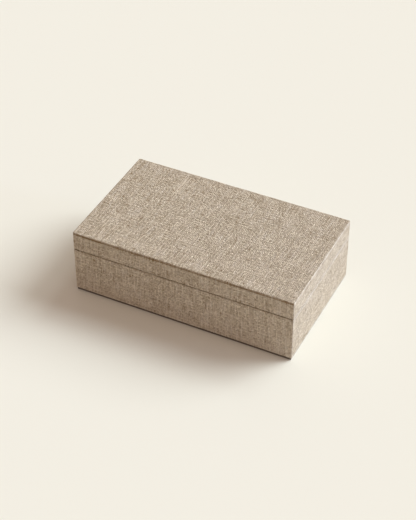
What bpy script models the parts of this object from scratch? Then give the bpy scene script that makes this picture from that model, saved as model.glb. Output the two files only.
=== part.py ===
"""Linen-wrapped storage box: a hinged lid on two brass stop hinges, over a base with a raised inner lining.

Metres, +Z up. The origin is on the table under the middle of the box. The long front faces -Y, the hinges
are on the +Y side, and the lid turns about the middle of the seam. Each sub-part is one object. The pieces
that stay still hang under the empty base_frame, and those that open hang under the empty lid_axis, which
stands on the hinge line.
"""

import math

import bmesh
import bpy

MM = 0.001

# The whole box, measured over its cloth
LENGTH = 300 * MM
DEPTH = 175 * MM
HEIGHT = 92.5 * MM
LID_HEIGHT = 26.5 * MM
SEAM_GAP = 0.8 * MM
CORNER_RADIUS = 1.4 * MM
EDGE_RADIUS = 1.0 * MM
RIM_RADIUS = 0.8 * MM
INSIDE_CORNER_RADIUS = 0.3 * MM

# What holds a glued pair of faces apart
GLUE_GAP = 0.3 * MM

# Cloth and felt
LINEN = 0.8 * MM
BASE_TURN_IN = 14 * MM
TURN_UNDER = 15 * MM
FELT = 3 * MM
FELT_INSET = 1 * MM
FELT_EDGE = 0.4 * MM

# Boards of the two carcasses
WALL_BOARD = 6 * MM
TOP_BOARD = 5 * MM
FLOOR_BOARD = 4 * MM
REBATE = 3 * MM

# Lining: four mitred panels that stand proud of the rim, and a pad on the floor and under the lid
NECK_CLEARANCE = 0.5 * MM
LINER_BOARD = 2.2 * MM
LINER_EDGE = 0.7 * MM
NECK_RISE = 6 * MM
FLOOR_PAD = 3.5 * MM
LID_PAD = 3 * MM
PAD_EDGE = 1.1 * MM

# Stop hinges, let into the back of the rim
HINGE_LENGTH = 32 * MM
HINGE_INSET = 60 * MM
AXIS_OUT = 0.5 * MM
BARREL_RADIUS = 2.0 * MM
BARREL_CLEARANCE = 0.25 * MM
KNUCKLES = 5
KNUCKLE_GAP = 0.25 * MM
LEAF_WEB = 1.0 * MM
PIN_RADIUS = 0.9 * MM
PIN_CLEARANCE = 0.1 * MM
OPEN_ANGLE = math.radians(95)
STOP_GAP = 0.3 * MM
STOP_WIDTH = 0.8 * MM

# Countersunk screws, two in each leaf
SCREW_SPACING = 19 * MM
SCREW_LENGTH = 9 * MM
SCREW_TIP = 1.2 * MM
SCREW_RADIUS = 0.8 * MM
HEAD_RADIUS = 1.5 * MM
HEAD_LIP = 0.2 * MM
HEAD_SINK = 0.1 * MM
SLOT_WIDTH = 0.4 * MM
SLOT_DEPTH = 0.35 * MM
SCREW_CLEARANCE = 0.15 * MM

# How far a cutter runs past what it cuts
OVERRUN = 4 * MM

# How finely round shapes are stepped
CORNER_STEPS = 4
EDGE_STEPS = 3
BARREL_STEPS = 32
SCREW_STEPS = 16

# Distances inward from the box's outer faces
BOARD_OUT = LINEN + GLUE_GAP
BOARD_IN = BOARD_OUT + WALL_BOARD
FLAP_IN = BOARD_IN + GLUE_GAP + LINEN
LINER_OUT = FLAP_IN + NECK_CLEARANCE
LINER_IN = LINER_OUT + LINER_BOARD

# Heights in the base, from the table up
SEAM_Z = HEIGHT - LID_HEIGHT
WRAP_Z = FELT + GLUE_GAP
BOARD_Z = WRAP_Z + LINEN + GLUE_GAP
FLOOR_TOP = BOARD_Z + FLOOR_BOARD
LINING_Z = FLOOR_TOP + GLUE_GAP
BASE_RIM_Z = SEAM_Z - SEAM_GAP / 2
BASE_BOARD_TOP = BASE_RIM_Z - LINEN - GLUE_GAP
NECK_TOP = BASE_RIM_Z + NECK_RISE

# Heights in the lid
LID_RIM_Z = SEAM_Z + SEAM_GAP / 2
LID_BOARD_Z = LID_RIM_Z + LINEN + GLUE_GAP
LID_BOARD_TOP = HEIGHT - LINEN - GLUE_GAP
TOP_BOARD_Z = LID_BOARD_TOP - TOP_BOARD
LID_FLAP_TOP = TOP_BOARD_Z - GLUE_GAP

# The hinge line and the leaf
AXIS_Y = DEPTH / 2 + AXIS_OUT
TURNING_RADIUS = BARREL_RADIUS + BARREL_CLEARANCE
LEAF_DEPTH = TURNING_RADIUS + LEAF_WEB
LEAF_REACH = AXIS_OUT + BOARD_IN - GLUE_GAP
SCREW_Y = DEPTH / 2 - BOARD_OUT - WALL_BOARD / 2
HINGE_X = LENGTH / 2 - HINGE_INSET


def clear_scene():
    for old in list(bpy.data.objects):
        bpy.data.objects.remove(old)


def finish(name, red, green, blue, roughness, metallic=0.0):
    """A material from a colour in linear light."""
    material = bpy.data.materials.new(name)
    material.use_nodes = True
    shader = material.node_tree.nodes["Principled BSDF"]
    shader.inputs["Base Color"].default_value = (red, green, blue, 1.0)
    shader.inputs["Roughness"].default_value = roughness
    shader.inputs["Metallic"].default_value = metallic
    return material


def frame(name, x, y, z):
    """An empty that carries one body's pieces."""
    empty = bpy.data.objects.new(name, None)
    empty.location = (x, y, z)
    bpy.context.scene.collection.objects.link(empty)
    return empty


def place(name, mesh, material, carrier, x, y, z, turn=(0.0, 0.0, 0.0)):
    """An object whose own origin stands at x, y, z of the box, under the empty that carries it."""
    piece = bpy.data.objects.new(name, mesh)
    if not mesh.materials:
        mesh.materials.append(material)
    piece.parent = carrier
    piece.location = (x - carrier.location.x, y - carrier.location.y, z - carrier.location.z)
    piece.rotation_euler = turn
    bpy.context.scene.collection.objects.link(piece)
    return piece


def cutter(name, mesh, x=0.0, y=0.0, z=0.0, turn=(0.0, 0.0, 0.0)):
    """A helper shape that only cuts or joins others."""
    tool = bpy.data.objects.new(name, mesh)
    tool.location = (x, y, z)
    tool.rotation_euler = turn
    tool.hide_render = True
    tool.display_type = "WIRE"
    bpy.context.scene.collection.objects.link(tool)
    return tool


def boolean(piece, operation, tool):
    step = piece.modifiers.new(operation.lower() + "_" + tool.name, "BOOLEAN")
    step.operation = operation
    step.object = tool


def mesh_from(name, bm, smooth=True):
    """Turns a bmesh into a mesh with its faces outwards, round parts smooth and edges crisp."""
    bmesh.ops.recalc_face_normals(bm, faces=bm.faces)
    mesh = bpy.data.meshes.new(name)
    bm.to_mesh(mesh)
    bm.free()
    if smooth:
        mesh.shade_smooth()
        mesh.set_sharp_from_angle(angle=math.radians(35))
    return mesh


def add_prism(bm, outline, low, high):
    """Carries a flat outline of x, y points from z = low to z = high, and closes it."""
    floor = [bm.verts.new((x, y, low)) for x, y in outline]
    roof = [bm.verts.new((x, y, high)) for x, y in outline]
    bm.faces.new(floor)
    bm.faces.new(roof)
    for i in range(len(outline)):
        j = (i + 1) % len(outline)
        bm.faces.new((floor[i], floor[j], roof[j], roof[i]))


def prism(name, outline, low, high, top_edge=0.0, bottom_edge=0.0):
    """A prism as a mesh. top_edge and bottom_edge are the radii of the edges round its two ends."""
    bm = bmesh.new()
    add_prism(bm, outline, low, high)
    for level, radius in ((high, top_edge), (low, bottom_edge)):
        if radius:
            edges = [e for e in bm.edges if all(abs(v.co.z - level) < radius / 2 for v in e.verts)]
            bmesh.ops.bevel(
                bm, geom=edges, offset=radius, segments=EDGE_STEPS, profile=0.5, affect="EDGES"
            )
    return mesh_from(name, bm)


def rectangle(half_x, half_y):
    return [(-half_x, -half_y), (half_x, -half_y), (half_x, half_y), (-half_x, half_y)]


def arc(centre_x, centre_y, radius, start, end, steps):
    """Points on an arc, from one angle to another, both ends included."""
    points = []
    for step in range(steps + 1):
        angle = start + (end - start) * step / steps
        points.append((centre_x + radius * math.cos(angle), centre_y + radius * math.sin(angle)))
    return points


def rounded_rectangle(half_x, half_y, radius):
    """A rectangle with four round corners, anticlockwise from the right-hand side of the back."""
    points = []
    for quarter, (side_x, side_y) in enumerate(((1, 1), (-1, 1), (-1, -1), (1, -1))):
        start = quarter * math.pi / 2
        points += arc(
            side_x * (half_x - radius),
            side_y * (half_y - radius),
            radius,
            start,
            start + math.pi / 2,
            CORNER_STEPS,
        )
    return points


def lathe(name, profile, steps):
    """Turns a profile of radius and height points about Z. Its first and last points are on the axis."""
    bm = bmesh.new()
    rings = []
    for radius, height in profile[1:-1]:
        ring = []
        for x, y in arc(0.0, 0.0, radius, 0.0, math.tau * (steps - 1) / steps, steps - 1):
            ring.append(bm.verts.new((x, y, height)))
        rings.append(ring)
    first = bm.verts.new((0.0, 0.0, profile[0][1]))
    last = bm.verts.new((0.0, 0.0, profile[-1][1]))
    for i in range(steps):
        j = (i + 1) % steps
        bm.faces.new((first, rings[0][i], rings[0][j]))
        for upper, lower in zip(rings, rings[1:]):
            bm.faces.new((upper[i], lower[i], lower[j], upper[j]))
        bm.faces.new((last, rings[-1][j], rings[-1][i]))
    return mesh_from(name, bm)


def wrap(name, profile, capped):
    """A skin of cloth: a profile of inset and height points, carried round the box.

    Each point makes one level ring, set in from the outer faces by its inset. A capped skin is closed by
    a flat face on its first and its last ring, and any other joins its last ring to its first.
    """
    bm = bmesh.new()
    rings = []
    for inset, height in profile:
        radius = max(CORNER_RADIUS - inset, INSIDE_CORNER_RADIUS)
        outline = rounded_rectangle(LENGTH / 2 - inset, DEPTH / 2 - inset, radius)
        rings.append([bm.verts.new((x, y, height)) for x, y in outline])
    pairs = list(zip(rings, rings[1:]))
    if capped:
        bm.faces.new(rings[0])
        bm.faces.new(rings[-1])
    else:
        pairs.append((rings[-1], rings[0]))
    for one, other in pairs:
        for i in range(len(one)):
            j = (i + 1) % len(one)
            bm.faces.new((one[i], one[j], other[j], other[i]))
    return mesh_from(name, bm)


def base_wrap_profile():
    """Under the floor, up the walls, over the rim and down behind the lining, then back along the boards."""
    inner_width = FLAP_IN - RIM_RADIUS
    rim_low = BASE_RIM_Z - RIM_RADIUS
    return [
        (TURN_UNDER, WRAP_Z),
        *arc(EDGE_RADIUS, WRAP_Z + EDGE_RADIUS, EDGE_RADIUS, -math.pi / 2, -math.pi, EDGE_STEPS),
        *arc(RIM_RADIUS, rim_low, RIM_RADIUS, math.pi, math.pi / 2, EDGE_STEPS),
        *arc(inner_width, rim_low, RIM_RADIUS, math.pi / 2, 0.0, EDGE_STEPS),
        (FLAP_IN, BASE_RIM_Z - BASE_TURN_IN),
        (FLAP_IN - LINEN, BASE_RIM_Z - BASE_TURN_IN),
        (FLAP_IN - LINEN, BASE_RIM_Z - LINEN),
        (LINEN, BASE_RIM_Z - LINEN),
        (LINEN, WRAP_Z + LINEN),
        (TURN_UNDER, WRAP_Z + LINEN),
    ]


def lid_wrap_profile():
    """Over the top, down the sides, round the rim and up inside as far as the top board, then back."""
    inner_width = FLAP_IN - RIM_RADIUS
    rim_high = LID_RIM_Z + RIM_RADIUS
    return [
        *arc(EDGE_RADIUS, HEIGHT - EDGE_RADIUS, EDGE_RADIUS, math.pi / 2, math.pi, EDGE_STEPS),
        *arc(RIM_RADIUS, rim_high, RIM_RADIUS, -math.pi, -math.pi / 2, EDGE_STEPS),
        *arc(inner_width, rim_high, RIM_RADIUS, -math.pi / 2, 0.0, EDGE_STEPS),
        (FLAP_IN, LID_FLAP_TOP),
        (FLAP_IN - LINEN, LID_FLAP_TOP),
        (FLAP_IN - LINEN, LID_RIM_Z + LINEN),
        (LINEN, LID_RIM_Z + LINEN),
        (LINEN, HEIGHT - LINEN),
    ]


def long_board_outline():
    """The front board in plan, around its own middle. Its outer corners follow the cloth's."""
    half = LENGTH / 2 - BOARD_OUT
    thick = WALL_BOARD / 2
    radius = CORNER_RADIUS - BOARD_OUT
    return [
        (half, thick),
        (-half, thick),
        *arc(radius - half, radius - thick, radius, math.pi, 1.5 * math.pi, CORNER_STEPS),
        *arc(half - radius, radius - thick, radius, 1.5 * math.pi, math.tau, CORNER_STEPS),
    ]


def build_carcass(prefix, carrier, material, low, high, panel_name, panel_low, panel_high, cutters):
    """Four wall boards and the floor or top board let into their rebates."""
    height = high - low
    long_y = DEPTH / 2 - BOARD_OUT - WALL_BOARD / 2
    short_x = LENGTH / 2 - BOARD_OUT - WALL_BOARD / 2
    short_half = DEPTH / 2 - BOARD_IN - GLUE_GAP
    long_mesh = prism(prefix + "_long_board", long_board_outline(), 0.0, height)
    short_mesh = prism(prefix + "_short_board", rectangle(WALL_BOARD / 2, short_half), 0.0, height)
    back_mesh = long_mesh.copy()
    boards = {
        "front": place(prefix + "_front_board", long_mesh, material, carrier, 0.0, -long_y, low),
        "back": place(
            prefix + "_back_board", back_mesh, material, carrier, 0.0, long_y, low, (0.0, 0.0, math.pi)
        ),
        "left": place(prefix + "_left_board", short_mesh, material, carrier, -short_x, 0.0, low),
        "right": place(prefix + "_right_board", short_mesh, material, carrier, short_x, 0.0, low),
    }

    # The rebate is the panel's own seat, one glue gap larger, and it runs out past the boards
    seat_x = LENGTH / 2 - BOARD_IN + REBATE
    seat_y = DEPTH / 2 - BOARD_IN + REBATE
    opens_down = panel_low == low
    seat_low = panel_low - (OVERRUN if opens_down else GLUE_GAP)
    seat_high = panel_high + (GLUE_GAP if opens_down else OVERRUN)
    seat_mesh = prism(prefix + "_rebate", rectangle(seat_x, seat_y), seat_low, seat_high)
    seat = cutter(prefix + "_rebate_cutter", seat_mesh)
    for board in boards.values():
        boolean(board, "DIFFERENCE", seat)
    for tool in cutters:
        boolean(boards["back"], "DIFFERENCE", tool)

    panel_mesh = prism(
        panel_name, rectangle(seat_x - GLUE_GAP, seat_y - GLUE_GAP), 0.0, panel_high - panel_low
    )
    place(panel_name, panel_mesh, material, carrier, 0.0, 0.0, panel_low)


def liner_outline(half_length):
    """A mitred lining panel in plan: its outer face is on y = 0, and it is thick towards +Y."""
    mitre_gap = GLUE_GAP / math.sqrt(2)
    outer = half_length - LINER_OUT - mitre_gap
    inner = half_length - LINER_IN - mitre_gap
    return [(-outer, 0.0), (outer, 0.0), (inner, LINER_BOARD), (-inner, LINER_BOARD)]


def build_lining(base, lid, panel_finish, pad_finish):
    """The four mitred wall panels that make the neck, the floor pad and the pad inside the lid."""
    rise = NECK_TOP - LINING_Z
    long_mesh = prism("long_lining", liner_outline(LENGTH / 2), 0.0, rise, top_edge=LINER_EDGE)
    short_mesh = prism("short_lining", liner_outline(DEPTH / 2), 0.0, rise, top_edge=LINER_EDGE)
    out_x = LENGTH / 2 - LINER_OUT
    out_y = DEPTH / 2 - LINER_OUT
    for side, mesh, x, y, turn in (
        ("front", long_mesh, 0.0, -out_y, 0.0),
        ("right", short_mesh, out_x, 0.0, math.pi / 2),
        ("back", long_mesh, 0.0, out_y, math.pi),
        ("left", short_mesh, -out_x, 0.0, -math.pi / 2),
    ):
        place("lining_" + side, mesh, panel_finish, base, x, y, LINING_Z, (0.0, 0.0, turn))

    floor_half = (LENGTH / 2 - LINER_IN - GLUE_GAP, DEPTH / 2 - LINER_IN - GLUE_GAP)
    floor_mesh = prism("floor_pad", rectangle(*floor_half), 0.0, FLOOR_PAD, top_edge=PAD_EDGE)
    place("floor_pad", floor_mesh, pad_finish, base, 0.0, 0.0, LINING_Z)

    lid_half = (LENGTH / 2 - FLAP_IN - GLUE_GAP, DEPTH / 2 - FLAP_IN - GLUE_GAP)
    lid_mesh = prism("lid_pad", rectangle(*lid_half), -LID_PAD, 0.0, bottom_edge=PAD_EDGE)
    place("lid_pad", lid_mesh, pad_finish, lid, 0.0, 0.0, LID_FLAP_TOP)


def mortise_mesh():
    """The two seats that the hinges need, in the rims of base and lid together."""
    bm = bmesh.new()
    half = HINGE_LENGTH / 2 + GLUE_GAP
    for side in (-1, 1):
        x = side * HINGE_X
        outline = [
            (x - half, DEPTH / 2 - BOARD_IN),
            (x + half, DEPTH / 2 - BOARD_IN),
            (x + half, DEPTH / 2 + OVERRUN),
            (x - half, DEPTH / 2 + OVERRUN),
        ]
        add_prism(bm, outline, SEAM_Z - LEAF_DEPTH - GLUE_GAP, SEAM_Z + LEAF_DEPTH + GLUE_GAP)
    return mesh_from("hinge_mortises", bm, smooth=False)


def screw_places():
    """The x of each screw, hinge by hinge."""
    return [
        (hinge, screw, side * HINGE_X + way * SCREW_SPACING / 2)
        for hinge, side in (("left", -1), ("right", 1))
        for screw, way in (("outer", side), ("inner", -side))
    ]


def pilot_mesh():
    """The pilot holes of all the screws, in base and lid together."""
    bm = bmesh.new()
    radius = SCREW_RADIUS + SCREW_CLEARANCE
    reach = SEAM_GAP / 2 + HEAD_SINK + SCREW_LENGTH + SCREW_CLEARANCE
    last = math.tau * (SCREW_STEPS - 1) / SCREW_STEPS
    for _, _, x in screw_places():
        circle = arc(x, SCREW_Y, radius, 0.0, last, SCREW_STEPS - 1)
        add_prism(bm, circle, SEAM_Z - reach, SEAM_Z + reach)
    return mesh_from("pilot_holes", bm, smooth=False)


def barrel_mesh(name, spans, radius):
    """Round bars along X on the hinge line, one for each span of x."""
    bm = bmesh.new()
    circle = arc(0.0, 0.0, radius, 0.0, math.tau * (BARREL_STEPS - 1) / BARREL_STEPS, BARREL_STEPS - 1)
    for start, end in spans:
        ends = [[bm.verts.new((x, y, z)) for y, z in circle] for x in (start, end)]
        bm.faces.new(ends[0])
        bm.faces.new(ends[1])
        for i in range(BARREL_STEPS):
            j = (i + 1) % BARREL_STEPS
            bm.faces.new((ends[0][i], ends[0][j], ends[1][j], ends[1][i]))
    return mesh_from(name, bm)


def leaf_outline():
    """The base leaf seen from its end, with the hinge line at 0, 0.

    It lies under the seam, from the board's inner face to the heel behind the hinge line. The heel's
    slanted face points half the opening angle below level, so the two heels meet when the lid is open.
    """
    half_angle = OPEN_ANGLE / 2
    setback = STOP_GAP / 2
    top = -SEAM_GAP / 2
    near = (SEAM_GAP / 2 - setback * math.cos(half_angle)) / math.sin(half_angle)
    far = TURNING_RADIUS + STOP_WIDTH
    slant = [
        (
            reach * math.cos(half_angle) - setback * math.sin(half_angle),
            -reach * math.sin(half_angle) - setback * math.cos(half_angle),
        )
        for reach in (near, far)
    ]
    heel_y = slant[1][0]
    return [(-LEAF_REACH, top), *slant, (heel_y, -LEAF_DEPTH), (-LEAF_REACH, -LEAF_DEPTH)]


def leaf_mesh(name, own_knuckles, other_knuckles, screw_seat):
    """A leaf under the seam, with its own knuckles, a bore for the pin and room for the other leaf."""
    half = HINGE_LENGTH / 2
    pitch = HINGE_LENGTH / KNUCKLES
    bm = bmesh.new()
    outline = leaf_outline()
    ends = [[bm.verts.new((x, y, z)) for y, z in outline] for x in (-half, half)]
    bm.faces.new(ends[0])
    bm.faces.new(ends[1])
    for i in range(len(outline)):
        j = (i + 1) % len(outline)
        bm.faces.new((ends[0][i], ends[0][j], ends[1][j], ends[1][i]))
    blank = bpy.data.objects.new(name + "_blank", mesh_from(name, bm))
    bpy.context.scene.collection.objects.link(blank)

    # The outer knuckles end with the leaf, and each inner one gives up half a gap at both ends
    knuckles = []
    for k in own_knuckles:
        start = -half + k * pitch + (KNUCKLE_GAP / 2 if k > 0 else 0.0)
        end = -half + (k + 1) * pitch - (KNUCKLE_GAP / 2 if k < KNUCKLES - 1 else 0.0)
        knuckles.append((start, end))
    rooms = []
    for k in other_knuckles:
        start = -half + k * pitch - (KNUCKLE_GAP / 2 if k > 0 else OVERRUN)
        end = -half + (k + 1) * pitch + (KNUCKLE_GAP / 2 if k < KNUCKLES - 1 else OVERRUN)
        rooms.append((start, end))
    through = [(-half - OVERRUN, half + OVERRUN)]
    tools = [
        ("DIFFERENCE", cutter(name + "_room", barrel_mesh(name + "_room", rooms, TURNING_RADIUS))),
        ("UNION", cutter(name + "_knuckles", barrel_mesh(name + "_knuckles", knuckles, BARREL_RADIUS))),
        ("DIFFERENCE", cutter(name + "_bore", barrel_mesh(name + "_bore", through, PIN_RADIUS + PIN_CLEARANCE))),
    ]
    for way in (-1, 1):
        seat = cutter(
            name + "_seat", screw_seat, way * SCREW_SPACING / 2, SCREW_Y - AXIS_Y, -SEAM_GAP / 2 - HEAD_SINK
        )
        tools.append(("DIFFERENCE", seat))
    for operation, tool in tools:
        boolean(blank, operation, tool)

    # The finished leaf becomes one mesh, which both hinges share
    bpy.context.view_layer.update()
    finished = blank.evaluated_get(bpy.context.evaluated_depsgraph_get())
    mesh = bpy.data.meshes.new_from_object(finished)
    mesh.name = name
    for spent in [blank, *(tool for _, tool in tools)]:
        bpy.data.objects.remove(spent)
    return mesh


def screw_profile(grown, extra_top, length):
    """Radius and height points of the screw, head at the top, or of its seat when grown."""
    neck = HEAD_LIP + HEAD_RADIUS - SCREW_RADIUS
    return [
        (0.0, extra_top),
        (HEAD_RADIUS + grown, extra_top),
        (HEAD_RADIUS + grown, -HEAD_LIP - grown),
        (SCREW_RADIUS + grown, -neck - grown),
        (SCREW_RADIUS + grown, SCREW_TIP - length),
        (0.0, -length),
    ]


def build_hinges(base, lid, brass):
    """Two stop hinges: a base leaf, a lid leaf and a pin each, and two screws in every leaf."""
    seat_depth = LEAF_DEPTH + OVERRUN
    seat_mesh = lathe("screw_seat", screw_profile(SCREW_CLEARANCE, OVERRUN, seat_depth), SCREW_STEPS)
    evens = list(range(0, KNUCKLES, 2))
    odds = list(range(1, KNUCKLES, 2))
    base_leaf = leaf_mesh("hinge_base_leaf", evens, odds, seat_mesh)
    lid_leaf = leaf_mesh("hinge_lid_leaf", odds, evens, seat_mesh)
    pin = barrel_mesh("hinge_pin", [(-HINGE_LENGTH / 2, HINGE_LENGTH / 2)], PIN_RADIUS)
    upside_down = (0.0, math.pi, 0.0)
    for side, x in (("left", -HINGE_X), ("right", HINGE_X)):
        place(side + "_hinge_base_leaf", base_leaf, brass, base, x, AXIS_Y, SEAM_Z)
        place(side + "_hinge_lid_leaf", lid_leaf, brass, lid, x, AXIS_Y, SEAM_Z, upside_down)
        place(side + "_hinge_pin", pin, brass, base, x, AXIS_Y, SEAM_Z)

    screw = screw_mesh()
    head = SEAM_GAP / 2 + HEAD_SINK
    for hinge, name, x in screw_places():
        place(f"{hinge}_hinge_base_screw_{name}", screw, brass, base, x, SCREW_Y, SEAM_Z - head)
        place(f"{hinge}_hinge_lid_screw_{name}", screw, brass, lid, x, SCREW_Y, SEAM_Z + head, upside_down)


def screw_mesh():
    """A countersunk screw with a slot across its head."""
    blank = bpy.data.objects.new(
        "screw_blank", lathe("screw", screw_profile(0.0, 0.0, SCREW_LENGTH), SCREW_STEPS)
    )
    bpy.context.scene.collection.objects.link(blank)
    slot = prism("slot", rectangle(HEAD_RADIUS + OVERRUN, SLOT_WIDTH / 2), -SLOT_DEPTH, OVERRUN)
    tool = cutter("slot_cutter", slot)
    boolean(blank, "DIFFERENCE", tool)
    bpy.context.view_layer.update()
    finished = blank.evaluated_get(bpy.context.evaluated_depsgraph_get())
    mesh = bpy.data.meshes.new_from_object(finished)
    mesh.name = "countersunk_screw"
    for spent in (blank, tool):
        bpy.data.objects.remove(spent)
    return mesh


def build_wraps(base, lid, linen, mortises):
    """The two linen skins, each notched for the hinges."""
    for name, profile, capped, carrier in (
        ("base_linen_wrap", base_wrap_profile(), False, base),
        ("lid_linen_wrap", lid_wrap_profile(), True, lid),
    ):
        skin = place(name, wrap(name, profile, capped), linen, carrier, 0.0, 0.0, 0.0)
        boolean(skin, "DIFFERENCE", mortises)


def build_felt(base, felt):
    """The sheet that the box stands on, which covers the edge of the turned-under linen."""
    outline = rounded_rectangle(LENGTH / 2 - FELT_INSET, DEPTH / 2 - FELT_INSET, CORNER_RADIUS)
    mesh = prism("underside_felt", outline, 0.0, FELT, bottom_edge=FELT_EDGE)
    place("underside_felt", mesh, felt, base, 0.0, 0.0, 0.0)


def main():
    clear_scene()
    linen = finish("oatmeal_linen", 0.47, 0.385, 0.30, 0.9)
    fibreboard = finish("fibreboard", 0.42, 0.29, 0.17, 0.85)
    lining_cloth = finish("lining_cloth", 0.60, 0.53, 0.43, 0.9)
    pad_cloth = finish("pad_cloth", 0.62, 0.55, 0.45, 0.95)
    felt = finish("underside_felt", 0.16, 0.13, 0.11, 1.0)
    brass = finish("brass", 0.66, 0.47, 0.21, 0.3, metallic=1.0)

    base = frame("base_frame", 0.0, 0.0, 0.0)
    lid = frame("lid_axis", 0.0, AXIS_Y, SEAM_Z)
    mortises = cutter("mortise_cutter", mortise_mesh())
    pilots = cutter("pilot_cutter", pilot_mesh())

    build_carcass(
        "base", base, fibreboard, BOARD_Z, BASE_BOARD_TOP, "base_floor_board", BOARD_Z, FLOOR_TOP,
        (mortises, pilots),
    )
    build_carcass(
        "lid", lid, fibreboard, LID_BOARD_Z, LID_BOARD_TOP, "lid_top_board", TOP_BOARD_Z, LID_BOARD_TOP,
        (mortises, pilots),
    )
    build_wraps(base, lid, linen, mortises)
    build_lining(base, lid, lining_cloth, pad_cloth)
    build_felt(base, felt)
    build_hinges(base, lid, brass)


main()
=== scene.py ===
# %% [markdown]
# # A linen-wrapped storage box
# The object is a flat-topped box that stands on a table. Its lid sits flush on a base of the same outline, and
# both are wrapped in coarse undyed linen. Under the cloth are fibreboard carcasses. A raised lining locates the
# lid, and two small brass hinges at the back carry it.
#
# The solids of the box are modelled and packed already. They are the fixed frame here: sizes and places below
# are read from them, so cloth, pads and metal land where the carcass is.

# %% Load the fixed frame
import math
import random

import bmesh
import bpy
from mathutils import Matrix, Vector


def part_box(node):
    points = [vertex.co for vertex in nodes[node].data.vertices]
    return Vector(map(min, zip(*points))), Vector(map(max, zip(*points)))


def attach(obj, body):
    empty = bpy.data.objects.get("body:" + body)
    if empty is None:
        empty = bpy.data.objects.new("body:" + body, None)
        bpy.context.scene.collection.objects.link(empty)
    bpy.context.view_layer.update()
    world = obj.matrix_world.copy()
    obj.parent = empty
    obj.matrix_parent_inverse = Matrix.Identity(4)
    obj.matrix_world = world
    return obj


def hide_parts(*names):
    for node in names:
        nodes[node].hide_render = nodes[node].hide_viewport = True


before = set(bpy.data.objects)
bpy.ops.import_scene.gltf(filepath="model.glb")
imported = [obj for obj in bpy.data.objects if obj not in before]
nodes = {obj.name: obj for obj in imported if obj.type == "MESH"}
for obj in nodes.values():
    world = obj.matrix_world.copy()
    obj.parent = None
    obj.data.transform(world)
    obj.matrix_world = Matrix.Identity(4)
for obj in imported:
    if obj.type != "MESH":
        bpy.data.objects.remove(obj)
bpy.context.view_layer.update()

MM = 0.001

# %% [markdown]
# ## Sizes taken from the frame
# The two linen skins give the outline, the top, and the rims on either side of the seam. The boards inside
# them say how far the cloth turns in. Two sizes of the cloth itself are written here, because a piece of cloth
# has them wherever it goes: how thick it is, and the gap that the glue takes.

# %% Read the outline, the rims and the top
CLOTH = 0.8 * MM
GLUE = 0.3 * MM

base_low, base_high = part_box("base_linen_wrap")
lid_low, lid_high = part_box("lid_linen_wrap")
half_length = lid_high.x
half_depth = lid_high.y
box_top = lid_high.z
lid_rim = lid_low.z
base_rim = base_high.z
base_foot = base_low.z
flap_inset = half_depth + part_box("base_front_board")[1].y + GLUE + CLOTH
print(f"box {2000 * half_length:.0f} x {2000 * half_depth:.0f} x {1000 * box_top:.0f} mm")
print(f"cloth turns in to {1000 * flap_inset:.1f} mm from the face")

# %% [markdown]
# ## The camera
# The photograph looks down on the box past its right-hand front corner, from fairly far away: opposite edges of
# the lid stay almost parallel. A long lens at a distance gives that flat perspective. The box sits a little to
# the left of the middle and low in the picture, so the camera is slid sideways and up instead of being turned.

# %% Place the camera
VIEW_AZIMUTH = math.radians(26.32)
VIEW_ELEVATION = math.radians(39.85)
CAMERA_DISTANCE = 1.801
CAMERA_LENS_MM = 98.46
SENSOR_MM = 36.0
SLIDE_RIGHT = 5.2 * MM
SLIDE_UP = 6.3 * MM


def from_angles(azimuth, elevation):
    """The direction that points to where something is seen from. Azimuth 0 is the front, 90 the right."""
    level = math.cos(elevation)
    return Vector((math.sin(azimuth) * level, -math.cos(azimuth) * level, math.sin(elevation)))


def place_camera():
    """Puts the camera on its line of sight and makes it the scene's camera."""
    toward_camera = from_angles(VIEW_AZIMUTH, VIEW_ELEVATION)
    right = Vector((0.0, 0.0, 1.0)).cross(toward_camera).normalized()
    up = toward_camera.cross(right)
    middle = Vector((0.0, 0.0, box_top / 2))
    place = middle + toward_camera * CAMERA_DISTANCE - right * SLIDE_RIGHT - up * SLIDE_UP
    camera = bpy.data.objects.new("camera", bpy.data.cameras.new("camera"))
    camera.data.sensor_width = SENSOR_MM
    camera.data.lens = CAMERA_LENS_MM
    turn = Matrix((right, up, toward_camera)).transposed().to_4x4()
    camera.matrix_world = Matrix.Translation(place) @ turn
    bpy.context.scene.collection.objects.link(camera)
    bpy.context.scene.camera = camera
    return camera


camera = place_camera()
print(f"camera stands {camera.location.length:.2f} m away with a {CAMERA_LENS_MM:.0f} mm lens")

# %% [markdown]
# ## Light
# In the photograph the right-hand end is the brightest side, the top comes next, and the front is in shade. The
# shadow falls to the left and towards us, with a very wide soft edge. So the key is a large window-like source
# behind the box on the right: a sun lamp 36 degrees across. A small, faint one behind softens the shadow's far
# edge. A cool one, just above the floor on the right, rakes across the end and the top, so that the weave there
# stands out. The rest is a warm, even fill from the world. Together they light a level surface so that its colour
# renders about as it is written.

# %% Set the suns and the world
SUNS = (
    ("window_key", 132, 37, 36, (2.62, 2.84, 2.92)),
    ("back_glow", 164, 49, 14, (0.31, 0.35, 0.35)),
    ("low_glow", 100, 6, 14, (0.48, 0.60, 0.85)),
)
FILL = (0.445, 0.355, 0.302)


def add_sun(name, azimuth, elevation, spread, light):
    """A sun seen in the given direction, in degrees. Its light is colour and strength in one."""
    strength = max(light)
    lamp = bpy.data.lights.new(name, "SUN")
    lamp.angle = math.radians(spread)
    lamp.energy = strength
    lamp.color = [part / strength for part in light]
    sun = bpy.data.objects.new(name, lamp)
    toward_sun = from_angles(math.radians(azimuth), math.radians(elevation))
    sun.rotation_mode = "QUATERNION"
    sun.rotation_quaternion = toward_sun.to_track_quat("Z", "Y")
    bpy.context.scene.collection.objects.link(sun)


for sun in SUNS:
    add_sun(*sun)

world = bpy.data.worlds.new("room_fill")
world.use_nodes = True
world.node_tree.nodes["Background"].inputs["Color"].default_value = (*FILL, 1.0)
bpy.context.scene.world = world
bpy.context.scene.view_settings.view_transform = "Standard"
print("lit by", len(SUNS), "suns and a plain world")

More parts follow.
